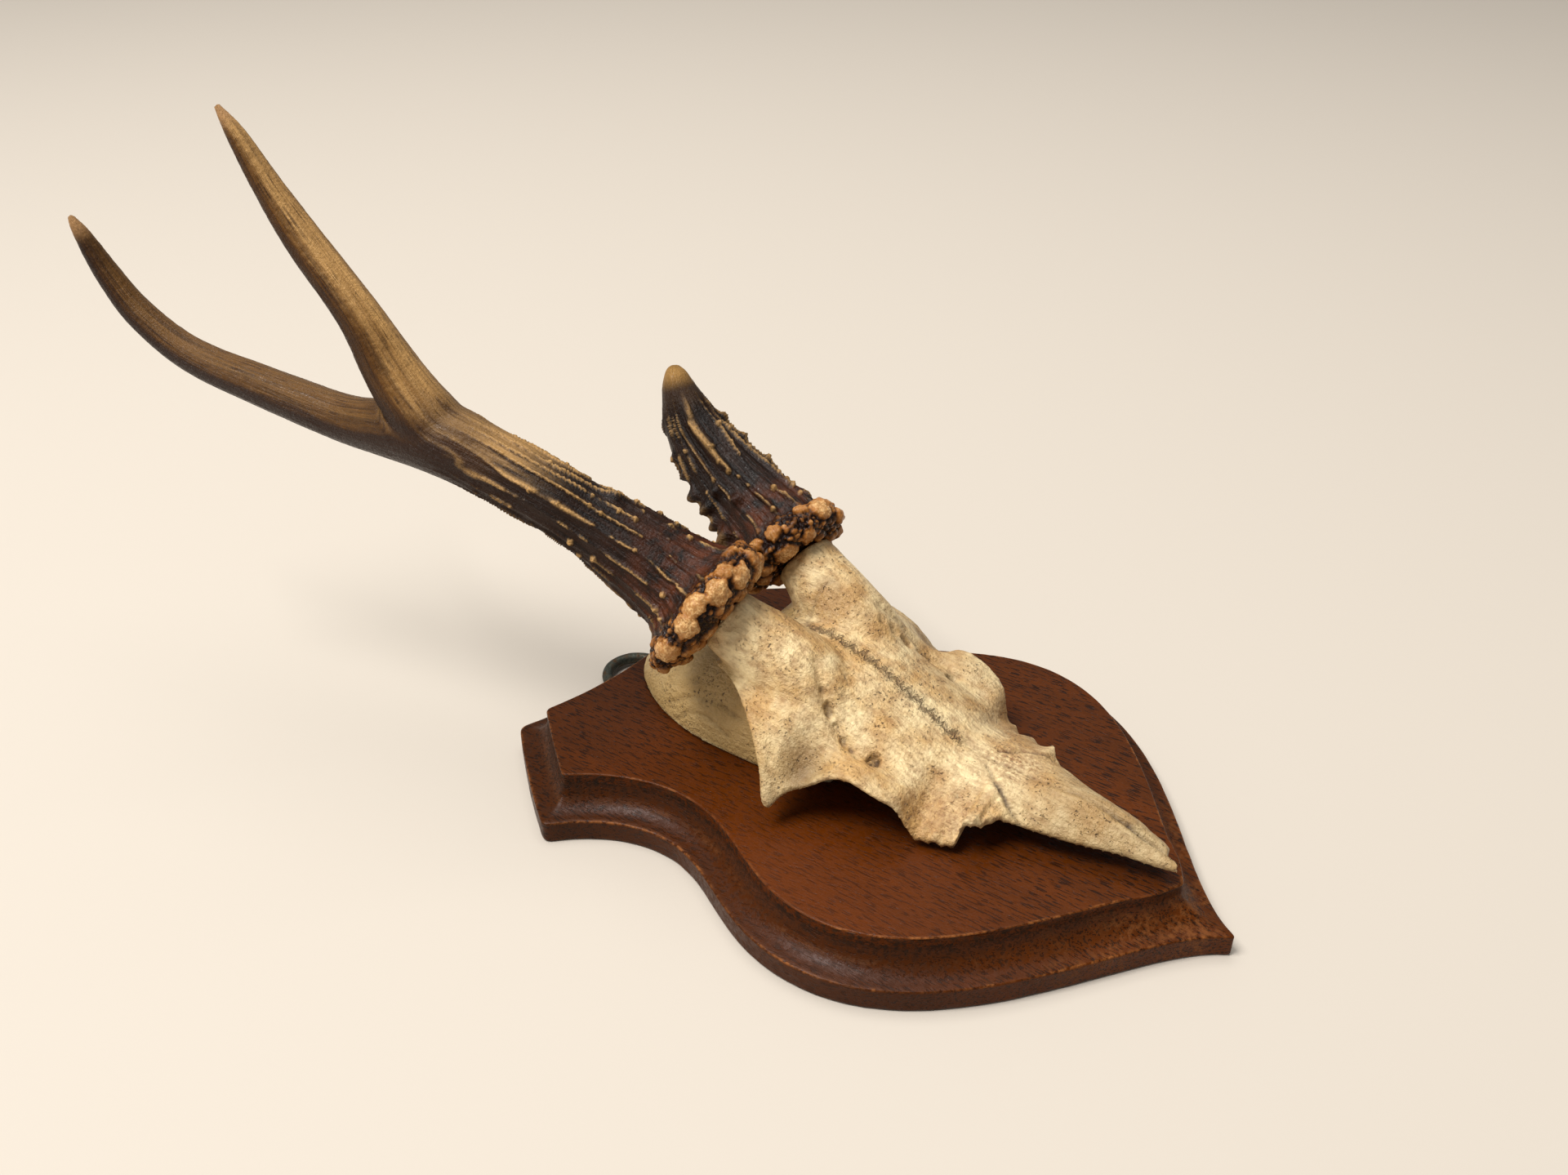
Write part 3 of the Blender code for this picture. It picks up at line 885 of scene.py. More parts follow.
@dataclass
class Shield:
    """The wooden shield, which lies on its back: its sizes in metres and the shares of its outline."""

    length: float
    width: float
    thickness: float
    rim_height: float = 6.8 * MM
    moulding_width: float = 8.5 * MM
    face_step: float = 2.7 * MM
    rim_round: float = 0.6 * MM
    arris_round: float = 0.45 * MM
    corner_spread: float = 28 * MM
    longest_mitre: float = 1.9
    spacing: float = 0.8 * MM
    cove_steps: int = 14
    ring_clearance: float = 0.6 * MM
    tang_width: float = 7 * MM

    ogee: tuple = ((0.0, 0.0), (0.121, 0.102), (1.0, 0.205), (1.0, 0.419))
    belly: tuple = ((1.0, 0.419), (1.0, 0.54), (0.752, 0.595), (0.752, 0.684))
    ear_flare: tuple = ((0.752, 0.684), (0.752, 0.735), (0.822, 0.786), (0.961, 0.829))
    ear_end: tuple = ((0.961, 0.829), (0.845, 0.888), (0.711, 0.944), (0.564, 1.0))
    top_edge: tuple = ((0.564, 1.0), (0.403, 0.972), (0.188, 0.958), (0.0, 0.958))

    def outline(self) -> tuple[Array, list[int]]:
        """The outline anticlockwise from the tip, and the places of its corners.

        Returns:
            The points, and the numbers of those at a corner.
        """
        size = np.array([self.width / 2, self.length])
        curves = (self.ogee, self.belly, self.ear_flare, self.ear_end, self.top_edge)
        parts = [bezier(controls, self.spacing, size) for controls in curves]
        right = np.vstack(parts)
        middle = np.array([self.top_edge[-1]]) * size
        left = right[:0:-1] * (-1.0, 1.0)
        points = np.vstack([right, middle, left]) - (0.0, self.length / 2)
        ear_foot = sum(len(part) for part in parts[:3])
        ear_top = ear_foot + len(parts[3])
        total = len(points)
        return points, [0, ear_foot, ear_top, total - ear_top, total - ear_foot]

    def inset_vectors(self, outline: Array, corners: Sequence[int]) -> Array:
        """For each point, the move that brings it one unit inside, with the corners mitred.

        Args:
            outline: the points of the outline.
            corners: the numbers of its corners.

        Returns:
            One move for each point.
        """
        steps = np.roll(outline, -1, axis=0) - outline
        ahead = unit(steps)
        behind = np.roll(ahead, 1, axis=0)
        tangent = unit(ahead + behind)
        normal = np.stack([-tangent[:, 1], tangent[:, 0]], axis=1)
        moves = normal.copy()
        narrowed = np.ones(len(outline))
        lengths = np.linalg.norm(steps, axis=1)
        count = len(outline)
        for corner in corners:
            inside_angle = math.pi - math.acos(float(ahead[corner] @ behind[corner]))
            slide = 1 / math.tan(inside_angle / 2)
            moves[corner] = normal[corner] / math.sin(inside_angle / 2)
            too_long = 1 - min(1.0, self.longest_mitre * math.sin(inside_angle / 2))
            narrowed[corner] = 1 - too_long
            for direction in (1, -1):
                travelled = 0.0
                index = corner
                while True:
                    travelled += lengths[index if direction > 0 else index - 1]
                    index = (index + direction) % count
                    if travelled >= self.corner_spread or index in corners:
                        break
                    fade = 1 - travelled / self.corner_spread
                    moves[index] = moves[index] + direction * tangent[index] * slide * fade
                    narrowed[index] = 1 - too_long * fade
        return moves * narrowed[:, None]

    def profile(self) -> Array:
        """Rows of inset, height, wear, grime and how many points of a corner are rounded.

        Returns:
            The rows, from the back's edge up to the face.
        """
        rows = []
        for angle in np.linspace(0, math.pi / 2, 4):
            inset = self.rim_round * (1 - math.sin(angle))
            rows.append((inset, self.rim_round * (1 - math.cos(angle)), 0.3, 0.2, 4))
        for height in np.linspace(self.rim_round * 2, self.rim_height - self.rim_round * 1.6, 5):
            rows.append((0.0, height, 0.05, 0.1, 4))
        for angle in np.linspace(0, math.pi / 2, 5):
            inset = self.rim_round * (1 - math.cos(angle))
            height = self.rim_height - self.rim_round * (1 - math.sin(angle))
            rows.append((inset, height, math.sin(2 * angle) ** 0.5 if 0 < angle < 1.57 else 0.2, 0, 4))
        cove_foot = self.rim_height + 0.15 * MM
        cove_top = self.thickness - self.face_step
        run = self.moulding_width - 2 * self.rim_round
        for step in range(self.cove_steps + 1):
            angle = math.pi / 2 * (1 - step / self.cove_steps)
            share = step / self.cove_steps
            inset = self.moulding_width - run * (1 - math.cos(angle))
            height = cove_top - (cove_top - cove_foot) * math.sin(angle)
            crease = 0.25 * float(bell(np.array(share - 0.5), 0.08))
            rows.append((inset, height, crease, 0.25 + 0.75 * share**4, 2))
        for height in np.linspace(cove_top + 0.4 * MM, self.thickness - self.arris_round, 3):
            rows.append((self.moulding_width, height, 0.1, 0.9, 2))
        for angle in np.linspace(0.2, math.pi / 2, 5):
            inset = self.moulding_width + self.arris_round * (1 - math.cos(angle))
            height = self.thickness - self.arris_round * (1 - math.sin(angle))
            rows.append((inset, height, 1.0 if angle < 1.5 else 0.5, 0, 2))
        for extra in (0.8 * MM, 2.0 * MM, 4.5 * MM):
            rows.append((self.moulding_width + extra, self.thickness, 0.0, 0, 1))
        return np.array(rows)

    def round_corners(self, ring: Array, corners: Sequence[int], reach: int) -> Array:
        """Rounds the ring over this many points on each side of every corner.

        Args:
            ring: the points of the ring.
            corners: the numbers of its corners.
            reach: how many points on each side are rounded.

        Returns:
            The rounded ring.
        """
        result = ring.copy()
        count = len(ring)
        for corner in corners:
            window = [(corner + step) % count for step in range(-reach, reach + 1)]
            for _ in range(reach * 2):
                middle = (result[np.roll(window, 1)] + result[np.roll(window, -1)]) / 2
                result[window[1:-1]] = (result[window] * 0.5 + middle * 0.5)[1:-1]
        return result

    def build(self, material: bpy.types.Material) -> bpy.types.Object:
        """Builds the shield with worn edges, cuts the ring's recess and dresses it.

        Args:
            material: what it is made of.

        Returns:
            The finished piece.
        """
        outline, corners = self.outline()
        moves = self.inset_vectors(outline, corners)
        rows = self.profile()
        rings = []
        for inset, height, wear, _, reach in rows:
            flat = self.round_corners(outline + moves * inset, corners, int(reach))
            ring = np.column_stack([flat, np.full(len(flat), height)])
            if wear > 0.15:
                dents = np.clip(fractal_noise(ring / (7 * MM), 5) - 0.35, 0, 1)
                wobble = 0.10 * MM * fractal_noise(ring / (5 * MM), 3) + 0.9 * MM * dents * wear
                ring[:, :2] += unit(moves) * wobble[:, None]
            rings.append(ring)
        piece = loft("shield", np.array(rings))
        surface = Surface(piece)
        sides = len(outline)
        x, y = surface.points[:, 0], surface.points[:, 1]
        moulding = np.repeat((rows[:, 0] < self.moulding_width).astype(float), sides)
        # Lighter towards the tip on the moulding: partly wear, partly a painted sheen
        tip_wear = 0.45 * moulding * smooth_step(y, -50 * MM, -98 * MM)
        grime = np.repeat(rows[:, 3], sides) * (0.35 + 0.65 * smooth_step(y, -95 * MM, -60 * MM))
        # Redder, with fewer flecks, round the skull's near side: partly a thicker varnish, partly a painted
        # sheen
        near = bell(x + 55 * MM, 38 * MM) * bell(y + 5 * MM, 62 * MM)
        # Painted shade: darker on the ears, on the far side and on the moulding away from the tip
        dull = 0.6 * smooth_step(y, 55 * MM, 85 * MM) + 0.3 * smooth_step(x, 20 * MM, 60 * MM)
        dull = dull + 0.9 * moulding * smooth_step(y, -80 * MM, -40 * MM)
        worn = np.maximum(np.repeat(rows[:, 2], sides), tip_wear)
        surface.paint(worn=worn, grime=grime, varnish=np.clip(near, 0, 1), dull=np.clip(dull, 0, 1))
        self.cut_recess(piece)
        piece.data.shade_smooth()
        piece.data.set_sharp_from_angle(angle=math.radians(50))
        finish_piece(piece, material, "wooden_shield")
        return piece

    def cut_recess(self, piece: bpy.types.Object) -> None:
        """Cuts the recess for the ring and its tang into the shield's back.

        Args:
            piece: the shield.
        """
        low, high = node_corners("hanging_ring")
        radius = (high[0] - low[0]) / 2
        clearance = self.ring_clearance
        depth = high[2] + clearance
        middle = np.array([(low[0] + high[0]) / 2, high[1] - radius])
        turns = np.linspace(0, 2 * math.pi, 64, endpoint=False)
        circle = middle + (radius + clearance) * np.column_stack([np.cos(turns), np.sin(turns)])
        right = self.tang_width / 2 + clearance
        foot = low[1] - middle[1] - clearance
        slot = middle + np.array([(-right, foot), (right, foot), (right, 0.0), (-right, 0.0)])
        for shape in (circle, slot):
            rings = [
                np.column_stack([shape, np.full(len(shape), height)]) for height in (-depth, depth)
            ]
            cutter = loft("recess_cutter", np.array(rings))
            put_together(piece, cutter, "DIFFERENCE")


# Hanging ring


@dataclass
class HangingRing:
    """The iron ring and its flat tang, in metres."""

    wire_radius: float = 1.9 * MM
    tang_width: float = 7 * MM
    tang_thickness: float = 2.2 * MM
    ease: float = 0.4 * MM
    turns: int = 96
    sides: int = 20

    def build(self, material: bpy.types.Material) -> bpy.types.Object:
        """Builds the ring in its node's box, slightly uneven as a forged one is.

        Args:
            material: what it is made of.

        Returns:
            The finished piece.
        """
        low, high = node_corners("hanging_ring")
        reach = (high[0] - low[0]) / 2
        middle = np.array([(low[0] + high[0]) / 2, high[1] - reach, (low[2] + high[2]) / 2])
        radius = reach - self.wire_radius
        angles = np.linspace(0, 2 * math.pi, self.turns, endpoint=False)
        rounds = np.linspace(0, 2 * math.pi, self.sides, endpoint=False)
        outward = np.column_stack([np.cos(angles), np.sin(angles), np.zeros(self.turns)])
        centres = middle + outward * radius
        uneven = 1 - 0.10 * (0.5 + 0.5 * value_noise(centres / (3 * MM), 9))
        thickness = self.wire_radius * uneven[:, None, None]
        sideways = outward[:, None, :] * np.cos(rounds)[None, :, None]
        spokes = sideways + UP * np.sin(rounds)[None, :, None]
        piece = loft("ring", centres[:, None, :] + spokes * thickness, round_trip=True)
        self.add_tang(piece, middle, radius, low[1])
        piece.data.shade_smooth()
        piece.data.set_sharp_from_angle(angle=math.radians(50))
        finish_piece(piece, material, "hanging_ring")
        return piece

    def add_tang(self, piece: bpy.types.Object, middle: Array, radius: float, foot: float) -> None:
        """Joins a flat tang with eased edges to the ring.

        Args:
            piece: the ring.
            middle: the ring's middle.
            radius: from there to the middle of the wire.
            foot: the lowest y of the tang.
        """
        half = self.tang_width / 2
        ease = self.ease
        outline = np.array(
            [(-half, foot + ease), (-half + ease, foot), (half - ease, foot), (half, foot + ease)]
            + [(half, middle[1] - radius), (-half, middle[1] - radius)]
        )
        centre = np.array([0.0, (foot + middle[1] - radius) / 2])
        top = self.tang_thickness / 2
        rings = []
        for height, share in ((-top, 0.94), (-top + ease, 1.0), (top - ease, 1.0), (top, 0.94)):
            flat = (outline - centre) * share + centre
            rings.append(
                np.column_stack([flat[:, 0] + middle[0], flat[:, 1], np.full(6, middle[2] + height)])
            )
        tang = loft("tang", np.array(rings))
        put_together(piece, tang, "UNION")


# Centre lines


@dataclass
class Axis:
    """A smooth centre line: places, directions and radii at its steps, in metres."""

    centres: Array
    tangents: Array
    asides: Array
    tops: Array
    radii: Array
    travelled: Array

    @classmethod
    def through(
        cls,
        table: Sequence[Sequence[float]],
        place: Place,
        scale: float,
        spacing: float = 0.8,
        level: tuple[int, Array, float] | None = None,
    ) -> "Axis":
        """Lays a centre line through a table of out, along, up and radius.

        Args:
            table: rows in the millimetres of the table.
            place: turns out, along and up into places in metres.
            scale: metres for each of the table's millimetres.
            spacing: between the steps, in the table's millimetres.
            level: an end, an axis and a reach in metres within which the steps are square to the axis.

        Returns:
            The centre line.
        """
        rows = smooth_rows(table, spacing)
        centres = place(rows[:, 0], rows[:, 1], rows[:, 2])
        tangents = unit(np.gradient(centres, axis=0))
        lengths = np.linalg.norm(np.diff(centres, axis=0), axis=1)
        travelled = np.concatenate([[0.0], np.cumsum(lengths)])
        if level:
            end, straight, reach = level
            free = np.clip(np.abs(travelled - end * travelled[-1]) / reach - 1, 0, 1)[:, None]
            tangents = unit(tangents * free + straight * (1 - free))
        aside = unit(np.cross(tangents[0], UP))
        asides = []
        for tangent in tangents:
            aside = unit(aside - tangent * (aside @ tangent))
            asides.append(aside)
        asides = np.array(asides)
        radii = rows[:, 3] * scale
        return cls(centres, tangents, asides, np.cross(asides, tangents), radii, travelled)

    def rings(self, sides: int) -> Array:
        """Round rings of the line's radius, square to it.

        Args:
            sides: how many points each ring has.

        Returns:
            One row of points for each ring.
        """
        angles = np.linspace(0, 2 * math.pi, sides, endpoint=False)
        spokes = (
            self.asides[:, None, :] * np.cos(angles)[None, :, None]
            + self.tops[:, None, :] * np.sin(angles)[None, :, None]
        )
        return self.centres[:, None, :] + spokes * self.radii[:, None, None]

    def locate(self, points: Array) -> tuple[Array, Array, Array]:
        """Finds where the points are along and around the line.

        Args:
            points: places in metres.

        Returns:
            The distance along the line, the direction around it as a unit pair, and the distance from the
            line as a share of its radius.
        """
        nearest = np.empty(len(points), int)
        squares = (self.centres**2).sum(axis=1)
        for start in range(0, len(points), 20000):
            part = points[start : start + 20000]
            nearest[start : start + 20000] = np.argmin(squares - 2 * part @ self.centres.T, axis=1)
        away = points - self.centres[nearest]
        along = self.travelled[nearest] + (away * self.tangents[nearest]).sum(axis=1)
        across = np.stack(
            [(away * self.asides[nearest]).sum(axis=1), (away * self.tops[nearest]).sum(axis=1)], axis=1
        )
        share = np.linalg.norm(away, axis=1) / self.radii[nearest]
        return along, unit(across), share


# Skull cap


@dataclass
class SkullCap:
    """The sawn skull cap. Its tables are in millimetres from the nasal tip and up from the saw cut."""

    scale: float
    nose: float
    foot: float
    thickness: float = 3.0
    edge_thinning: float = 0.40
    voxel: float = 0.62 * MM
    braincase_wall: float = 3.2
    braincase_roundness: float = 2.2
    groove_along: float = 80.0
    groove_share: float = 0.64
    groove_reach: float = 15.0
    groove_share_reach: float = 0.17
    groove_depth: float = 3.0
    pedicle_level_reach: float = 4 * MM
    hollow_depth: float = 4.6
    valley_depth: float = 2.2

    # Along, half width, crown height, edge height, roundness of the section
    brow_stations: tuple = (
        (0.0, 3.4, 7.6, 6.2, 2.0),
        (3.0, 4.4, 8.8, 6.5, 2.0),
        (9.0, 5.7, 10.4, 6.8, 2.0),
        (16.0, 7.3, 12.9, 7.3, 1.8),
        (26.0, 10.0, 14.8, 7.4, 1.7),
        (36.0, 12.8, 15.3, 8.4, 1.7),
        (43.0, 15.2, 15.1, 9.8, 1.8),
        (46.0, 18.5, 15.0, 10.4, 1.9),
        (49.0, 23.5, 15.0, 5.2, 2.2),
        (54.0, 26.2, 15.0, 3.2, 2.2),
        (64.0, 29.4, 16.2, 3.4, 2.1),
        (66.5, 30.4, 17.3, 8.0, 1.8),
        (69.0, 31.8, 18.5, 13.6, 1.5),
        (75.0, 34.2, 21.6, 17.2, 1.3),
        (82.0, 35.2, 25.5, 19.4, 1.2),
        (90.0, 36.9, 30.0, 18.1, 1.5),
        (95.0, 38.8, 31.6, 15.0, 2.4),
        (98.5, 42.0, 32.8, 10.6, 3.0),
        (100.6, 44.8, 33.3, 7.2, 3.2),
        (102.4, 44.2, 33.8, 9.8, 3.2),
        (106.0, 40.4, 35.2, 17.5, 3.0),
        (111.0, 36.6, 35.6, 23.0, 2.8),
        (119.0, 31.8, 34.8, 28.6, 2.6),
        (127.0, 28.2, 32.6, 31.6, 2.4),
        (133.0, 24.5, 29.8, 30.6, 2.2),
    )
    # Along, half width at the saw cut, crown height
    braincase_stations: tuple = (
        (96.0, 20.0, 28.5),
        (104.0, 23.4, 32.8),
        (113.0, 25.4, 34.2),
        (125.0, 26.0, 31.9),
        (137.0, 25.5, 28.2),
        (147.0, 24.0, 24.6),
        (157.0, 20.6, 19.4),
        (166.0, 15.6, 12.0),
        (173.0, 9.6, 5.8),
        (178.0, 2.6, 1.2),
    )
    # Out, along, up and radius of a pedicle
    pedicle_stations: tuple = (
        (13.5, 101.0, 18.0, 12.5),
        (14.2, 110.0, 26.5, 13.4),
        (16.2, 119.5, 33.8, 11.8),
        (18.3, 127.3, 39.2, 10.0),
        (19.3, 132.6, 42.6, 9.1),
    )
    # Across, along, radius and depth of the holes and pits beside the brow, on the left and on the right
    pits: tuple = (
        (-24.4, 86.2, 0.9, 0.7),
        (-23.8, 89.4, 1.1, 1.0),
        (-22.6, 92.4, 0.9, 0.8),
        (-21.7, 95.6, 1.4, 1.2),
        (-20.4, 98.8, 0.9, 0.7),
        (-26.0, 83.4, 0.8, 0.5),
        (21.8, 85.0, 1.0, 0.8),
        (21.6, 88.4, 1.7, 1.4),
        (19.6, 91.2, 1.0, 0.8),
        (16.9, 94.2, 1.5, 1.1),
        (14.9, 97.6, 1.3, 0.9),
        (13.2, 100.6, 0.9, 0.6),
        (-15.9, 58.2, 0.6, 0.5),
    )
    # The brow holes: across, along, radius, depth
    brow_holes: tuple = ((-23.3, 80.2, 2.4, 1.9), (20.7, 80.9, 2.2, 1.8))
    # Along, and how much the broken edge of the right tear bone is raised there
    broken_edge: tuple = (
        (44.5, 0.0),
        (45.5, 1.8),
        (46.3, 0.0),
        (47.2, 4.4),
        (48.0, 3.0),
        (49.0, 8.2),
        (49.8, 6.2),
        (50.6, 9.8),
        (51.3, 7.8),
        (52.0, 9.8),
        (52.6, 2.4),
        (53.4, 0.0),
        (55.0, 1.6),
        (56.4, 0.4),
        (58.6, 1.8),
        (60.5, 0.4),
        (62.0, 1.6),
        (63.4, 0.4),
        (64.4, 1.4),
        (65.4, 2.2),
        (66.4, 0.4),
        (68.0, 0.0),
    )
    # Across, along and up of the points on each line, the crack's without up
    trough_line: tuple = (
        (23.3, 80.2, 0.0),
        (24.4, 84.5, 0.0),
        (23.9, 89.4, 0.0),
        (22.3, 94.2, 0.0),
        (20.3, 99.0, 0.0),
        (17.0, 103.0, 0.0),
    )
    crest_line: tuple = (
        (27.4, 131.0, 38.5),
        (31.5, 120.0, 31.5),
        (36.2, 111.0, 24.0),
        (40.4, 105.0, 16.0),
        (43.8, 101.4, 8.4),
    )
    furrow_lines: tuple = (
        ((24.0, 150.0, 1.0), (24.3, 144.0, 7.0), (24.8, 136.0, 9.0), (25.5, 128.0, 6.0)),
        ((22.0, 152.0, 6.0), (22.8, 144.0, 12.0), (23.6, 134.0, 15.0), (24.4, 124.0, 13.0)),
    )
    crack_line: tuple = ((4.0, 56.0), (5.9, 53.4), (8.6, 51.0), (10.8, 47.2), (12.4, 44.8), (14.0, 41.0))

    def place(self, across: Array, along: Array, up: Array) -> Array:
        """Places on the skull's tables, in metres in the frame's axes.

        Args:
            across: millimetres to the left.
            along: millimetres from the nasal tip.
            up: millimetres from the saw cut.

        Returns:
            The places, one row of three numbers each.
        """
        across, along, up = np.broadcast_arrays(across, along, up)
        offset = np.array([0.0, self.nose, self.foot])
        return np.stack([across, along, up], axis=-1) * self.scale + offset

    def brow_rings(self) -> Array:
        """Sections of the frontal and nasal bones, with the ragged edges of the broken tear bones.

        Returns:
            One row of points for each section.
        """
        shares = np.sin(np.linspace(-math.pi / 2, math.pi / 2, 73))
        rings = []
        for along, half, crown, edge, roundness in smooth_rows(self.brow_stations, 0.7):
            broken = float(smooth_step(along, 43, 47) * smooth_step(along, 71, 66))
            teeth = value_noise(np.array([[along / 1.5, side, 0.5] for side in (0.5, 7.5)]), 21)
            rough = value_noise(np.array([[along / 4.0, side, 3.5] for side in (0.5, 7.5)]), 22)
            orbit = float(smooth_step(along, 66, 70) * smooth_step(along, 96, 90))
            notches = teeth * (1.8 * broken + 0.5 * orbit)
            lift = float(np.interp(along, *np.array(self.broken_edge).T))
            at_edge = np.abs(shares) ** 8
            lifted = at_edge + (1 - at_edge) * smooth_step(np.array(lift), 2.0, 5.0)
            edges = np.where(shares < 0, lift * lifted, rough[1] * 1.8 * broken)
            edges = edge + edges + np.where(shares < 0, notches[0], notches[1]) * at_edge
            wide = np.clip(notches, -1.2, 1.2) * 0.4
            halves = half + np.where(shares < 0, wide[0], wide[1]) * at_edge
            drop = crown - (crown - edges) * np.abs(shares) ** roundness
            across = (np.abs(shares) - self.groove_share) / self.groove_share_reach
            fade = math.exp(-(((along - self.groove_along) / self.groove_reach) ** 2))
            drop = drop - self.groove_depth * fade * np.exp(-(across**2))
            hollow = np.hypot((halves * np.abs(shares) - 34.5) / 5.0, (along - 94.5) / 6.0)
            drop = drop - self.hollow_depth * bell(hollow, 1.0)
            valley = bell(halves * np.abs(shares) - 8.0, 4.0) * math.exp(-(((along - 114.0) / 8.0) ** 2))
            drop = drop - self.valley_depth * valley
            thick = self.thickness * (1 - self.edge_thinning * np.abs(shares) ** 3)
            split = 9.0 * np.clip(1 - np.abs(halves * shares) / 1.3, 0, 1) * max(0.0, 1 - along / 14)
            far_side = 4.5 * smooth_step(halves * shares, 0.0, 1.0) * max(0.0, 1 - along / 14)
            split = np.maximum(split, far_side)
            upper = self.place(halves * shares, along + split, drop)
            inner = (halves - 0.3 * thick) * shares
            lower = self.place(inner, along + split, np.maximum(drop - thick, 0.0))
            rings.append(np.vstack([upper, lower[::-1]]))
        return np.array(rings)

    def braincase_rings(self, shrink: float, foot: float) -> Array:
        """Sections of the braincase, open for a cutter below the saw cut where foot is more than 0.

        Args:
            shrink: how much smaller the section is on every side, in millimetres.
            foot: how far the section goes below the saw cut, in millimetres.

        Returns:
            One row of points for each section.
        """
        rings = []
        angles = np.linspace(0, math.pi, 61)
        power = 2 / self.braincase_roundness
        for along, half, crown in smooth_rows(self.braincase_stations, 1.2):
            half = max(half - shrink, 0.4)
            crown = max(crown - shrink, 0.4)
            across = half * np.sign(np.cos(angles)) * np.abs(np.cos(angles)) ** power
            arch = self.place(across, along, crown * np.abs(np.sin(angles)) ** power)
            feet = self.place(np.array([-half, half]), along, -foot)
            rings.append(np.vstack([arch, feet]) if foot else arch)
        return np.array(rings)

    def pedicle_top(self, side: Side) -> tuple[Array, Array]:
        """The middle of a pedicle's top and the direction that it points in.

        Args:
            side: which pedicle.

        Returns:
            The middle and the direction.
        """
        (before, last) = (np.array(row) for row in self.pedicle_stations[-2:])
        ends = [self.place(side.value * row[0], row[1], row[2]) for row in (before, last)]
        return ends[1], unit(ends[1] - ends[0])

    def solid(self) -> bpy.types.Object:
        """The bone as one mesh of even small faces: brow, braincase and pedicles grown together.

        Returns:
            The bone.
        """
        pieces = [loft("skull", self.brow_rings()), loft("dome", self.braincase_rings(0, 0))]
        for side in Side:
            axis = Axis.through(
                self.pedicle_stations,
                lambda out, along, up, side=side: self.place(side.value * out, along, up),
                self.scale,
                level=(1, self.pedicle_top(side)[1], self.pedicle_level_reach),
            )
            pieces.append(loft("pedicle", axis.rings(64)))
        piece = merge(pieces)
        apply_modifier(piece, "REMESH", mode="VOXEL", voxel_size=self.voxel)
        hollow = loft("hollow", self.braincase_rings(self.braincase_wall, 4.0))
        put_together(piece, hollow, "DIFFERENCE")
        return piece

    def build(self, material: bpy.types.Material) -> bpy.types.Object:
        """Builds the skull cap with its seams, holes, crests and pores, and dresses it.

        Args:
            material: what it is made of.

        Returns:
            The finished piece.
        """
        piece = self.solid()
        surface = Surface(piece)
        table = self.to_table(surface.points)
        ragged = bell(table[:, 1] - 55.0, 10.0) * smooth_step(table[:, 2], 15.0, 11.0)
        surface.soften(3, 1 - 0.75 * ragged)
        table = self.to_table(surface.points)
        bases = patch(np.abs(table), (15.5, 113.0, 33.0), 11)
        surface.soften(22, np.clip(bases * 1.4, 0, 1) * (table[:, 2] > 20))
        table = self.to_table(surface.points)
        outer = smooth_step(surface.normals[:, 2], -0.35, 0.05)
        dirt = self.carve(surface, table, outer)
        self.tint(surface, table, outer, dirt)
        piece.data.shade_smooth()
        finish_piece(piece, material, "skull_cap")
        return piece

    def carve(self, surface: Surface, table: Array, outer: Array) -> Array:
        """Cuts the holes, seams, furrows and the crack, and raises the crests.

        Args:
            surface: the smooth bone.
            table: its points on the tables.
            outer: 1 on the outer side of the bone, 0 on the inner side.

        Returns:
            How dirty each point is.
        """
        mirrored = np.abs(table)
        x, along, up = table.T
        depth = np.zeros(len(table))
        dirt = np.zeros(len(table))
        flat = np.column_stack([np.abs(x), along, 0 * x])
        uneven_edge = 0.45 * fractal_noise(table / 1.3, 37)
        for across, place, radius, deep in self.pits:
            distance = np.hypot(x - across, (along - place) * 0.85) + uneven_edge * radius
            hole = smooth_step(distance, radius * 1.25, radius * 0.55) * (outer > 0.5)
            depth += deep * hole
            depth += 0.25 * deep * bell(distance, radius * 1.8) * outer
            dirt = np.maximum(dirt, 0.38 * smooth_step(distance, radius * 1.1, radius * 0.5))
        middle = bell(x + 0.6, 1.5) * smooth_step(along, 62, 68) * smooth_step(along, 119, 115)
        nasal_wave = 0.5 * value_noise(np.column_stack([along / 6, along * 0, along * 0]), 31)
        nasal = bell(x + 0.8 - nasal_wave, 0.75) * smooth_step(along, -2, 1) * smooth_step(along, 66, 62)
        nasal = nasal * (1 + 3.0 * smooth_step(along, 26, 12))
        coronal_line = 119.0 - 0.012 * x**2 + 1.0 * value_noise(np.column_stack([x / 3, x * 0, x * 0]), 33)
        coronal = bell(along - coronal_line, 0.7) * smooth_step(np.abs(x), 13, 9) * outer
        crack_path = [(place[0], place[1], 0.0) for place in self.crack_line]
        crack_wave = 0.5 * fractal_noise(table / 1.6, 35)
        crack = bell(distance_to_line(flat, crack_path) + crack_wave, 0.55) * (up > 5)
        trough = bell(distance_to_line(flat, self.trough_line) + 0.6 * uneven_edge, 1.7)
        for across, place, radius, deep in self.brow_holes:
            distance = np.hypot(x - across, (along - place) / 0.8)
            depth = np.maximum(depth, deep * smooth_step(distance, radius * 1.15, radius * 0.7) * outer)
            dirt = np.maximum(dirt, 0.75 * smooth_step(distance, radius * 1.05, radius * 0.8))
        seams = (0.35 * middle + 0.5 * nasal + 0.5 * coronal + 0.9 * crack + 1.1 * trough) * outer
        crest_distance = distance_to_line(mirrored, self.crest_line)
        crest = 0.9 * bell(crest_distance, 1.6)
        behind_crest = 0.8 * bell(crest_distance - 4.5, 2.2) * (along > 103) * smooth_step(up, 34, 28)
        furrows = np.zeros(len(table))
        for line in self.furrow_lines:
            furrows += 0.45 * bell(distance_to_line(mirrored, line), 0.8)
        uneven = 0.28 * fractal_noise(table / 9.0, 41) + 0.10 * fractal_noise(table / 1.9, 42)
        surface.push((crest + uneven * outer - depth - seams - behind_crest - furrows) * MM)
        lines = 0.7 * crack * outer + 0.30 * nasal + 0.4 * coronal + 0.10 * middle + 0.12 * trough
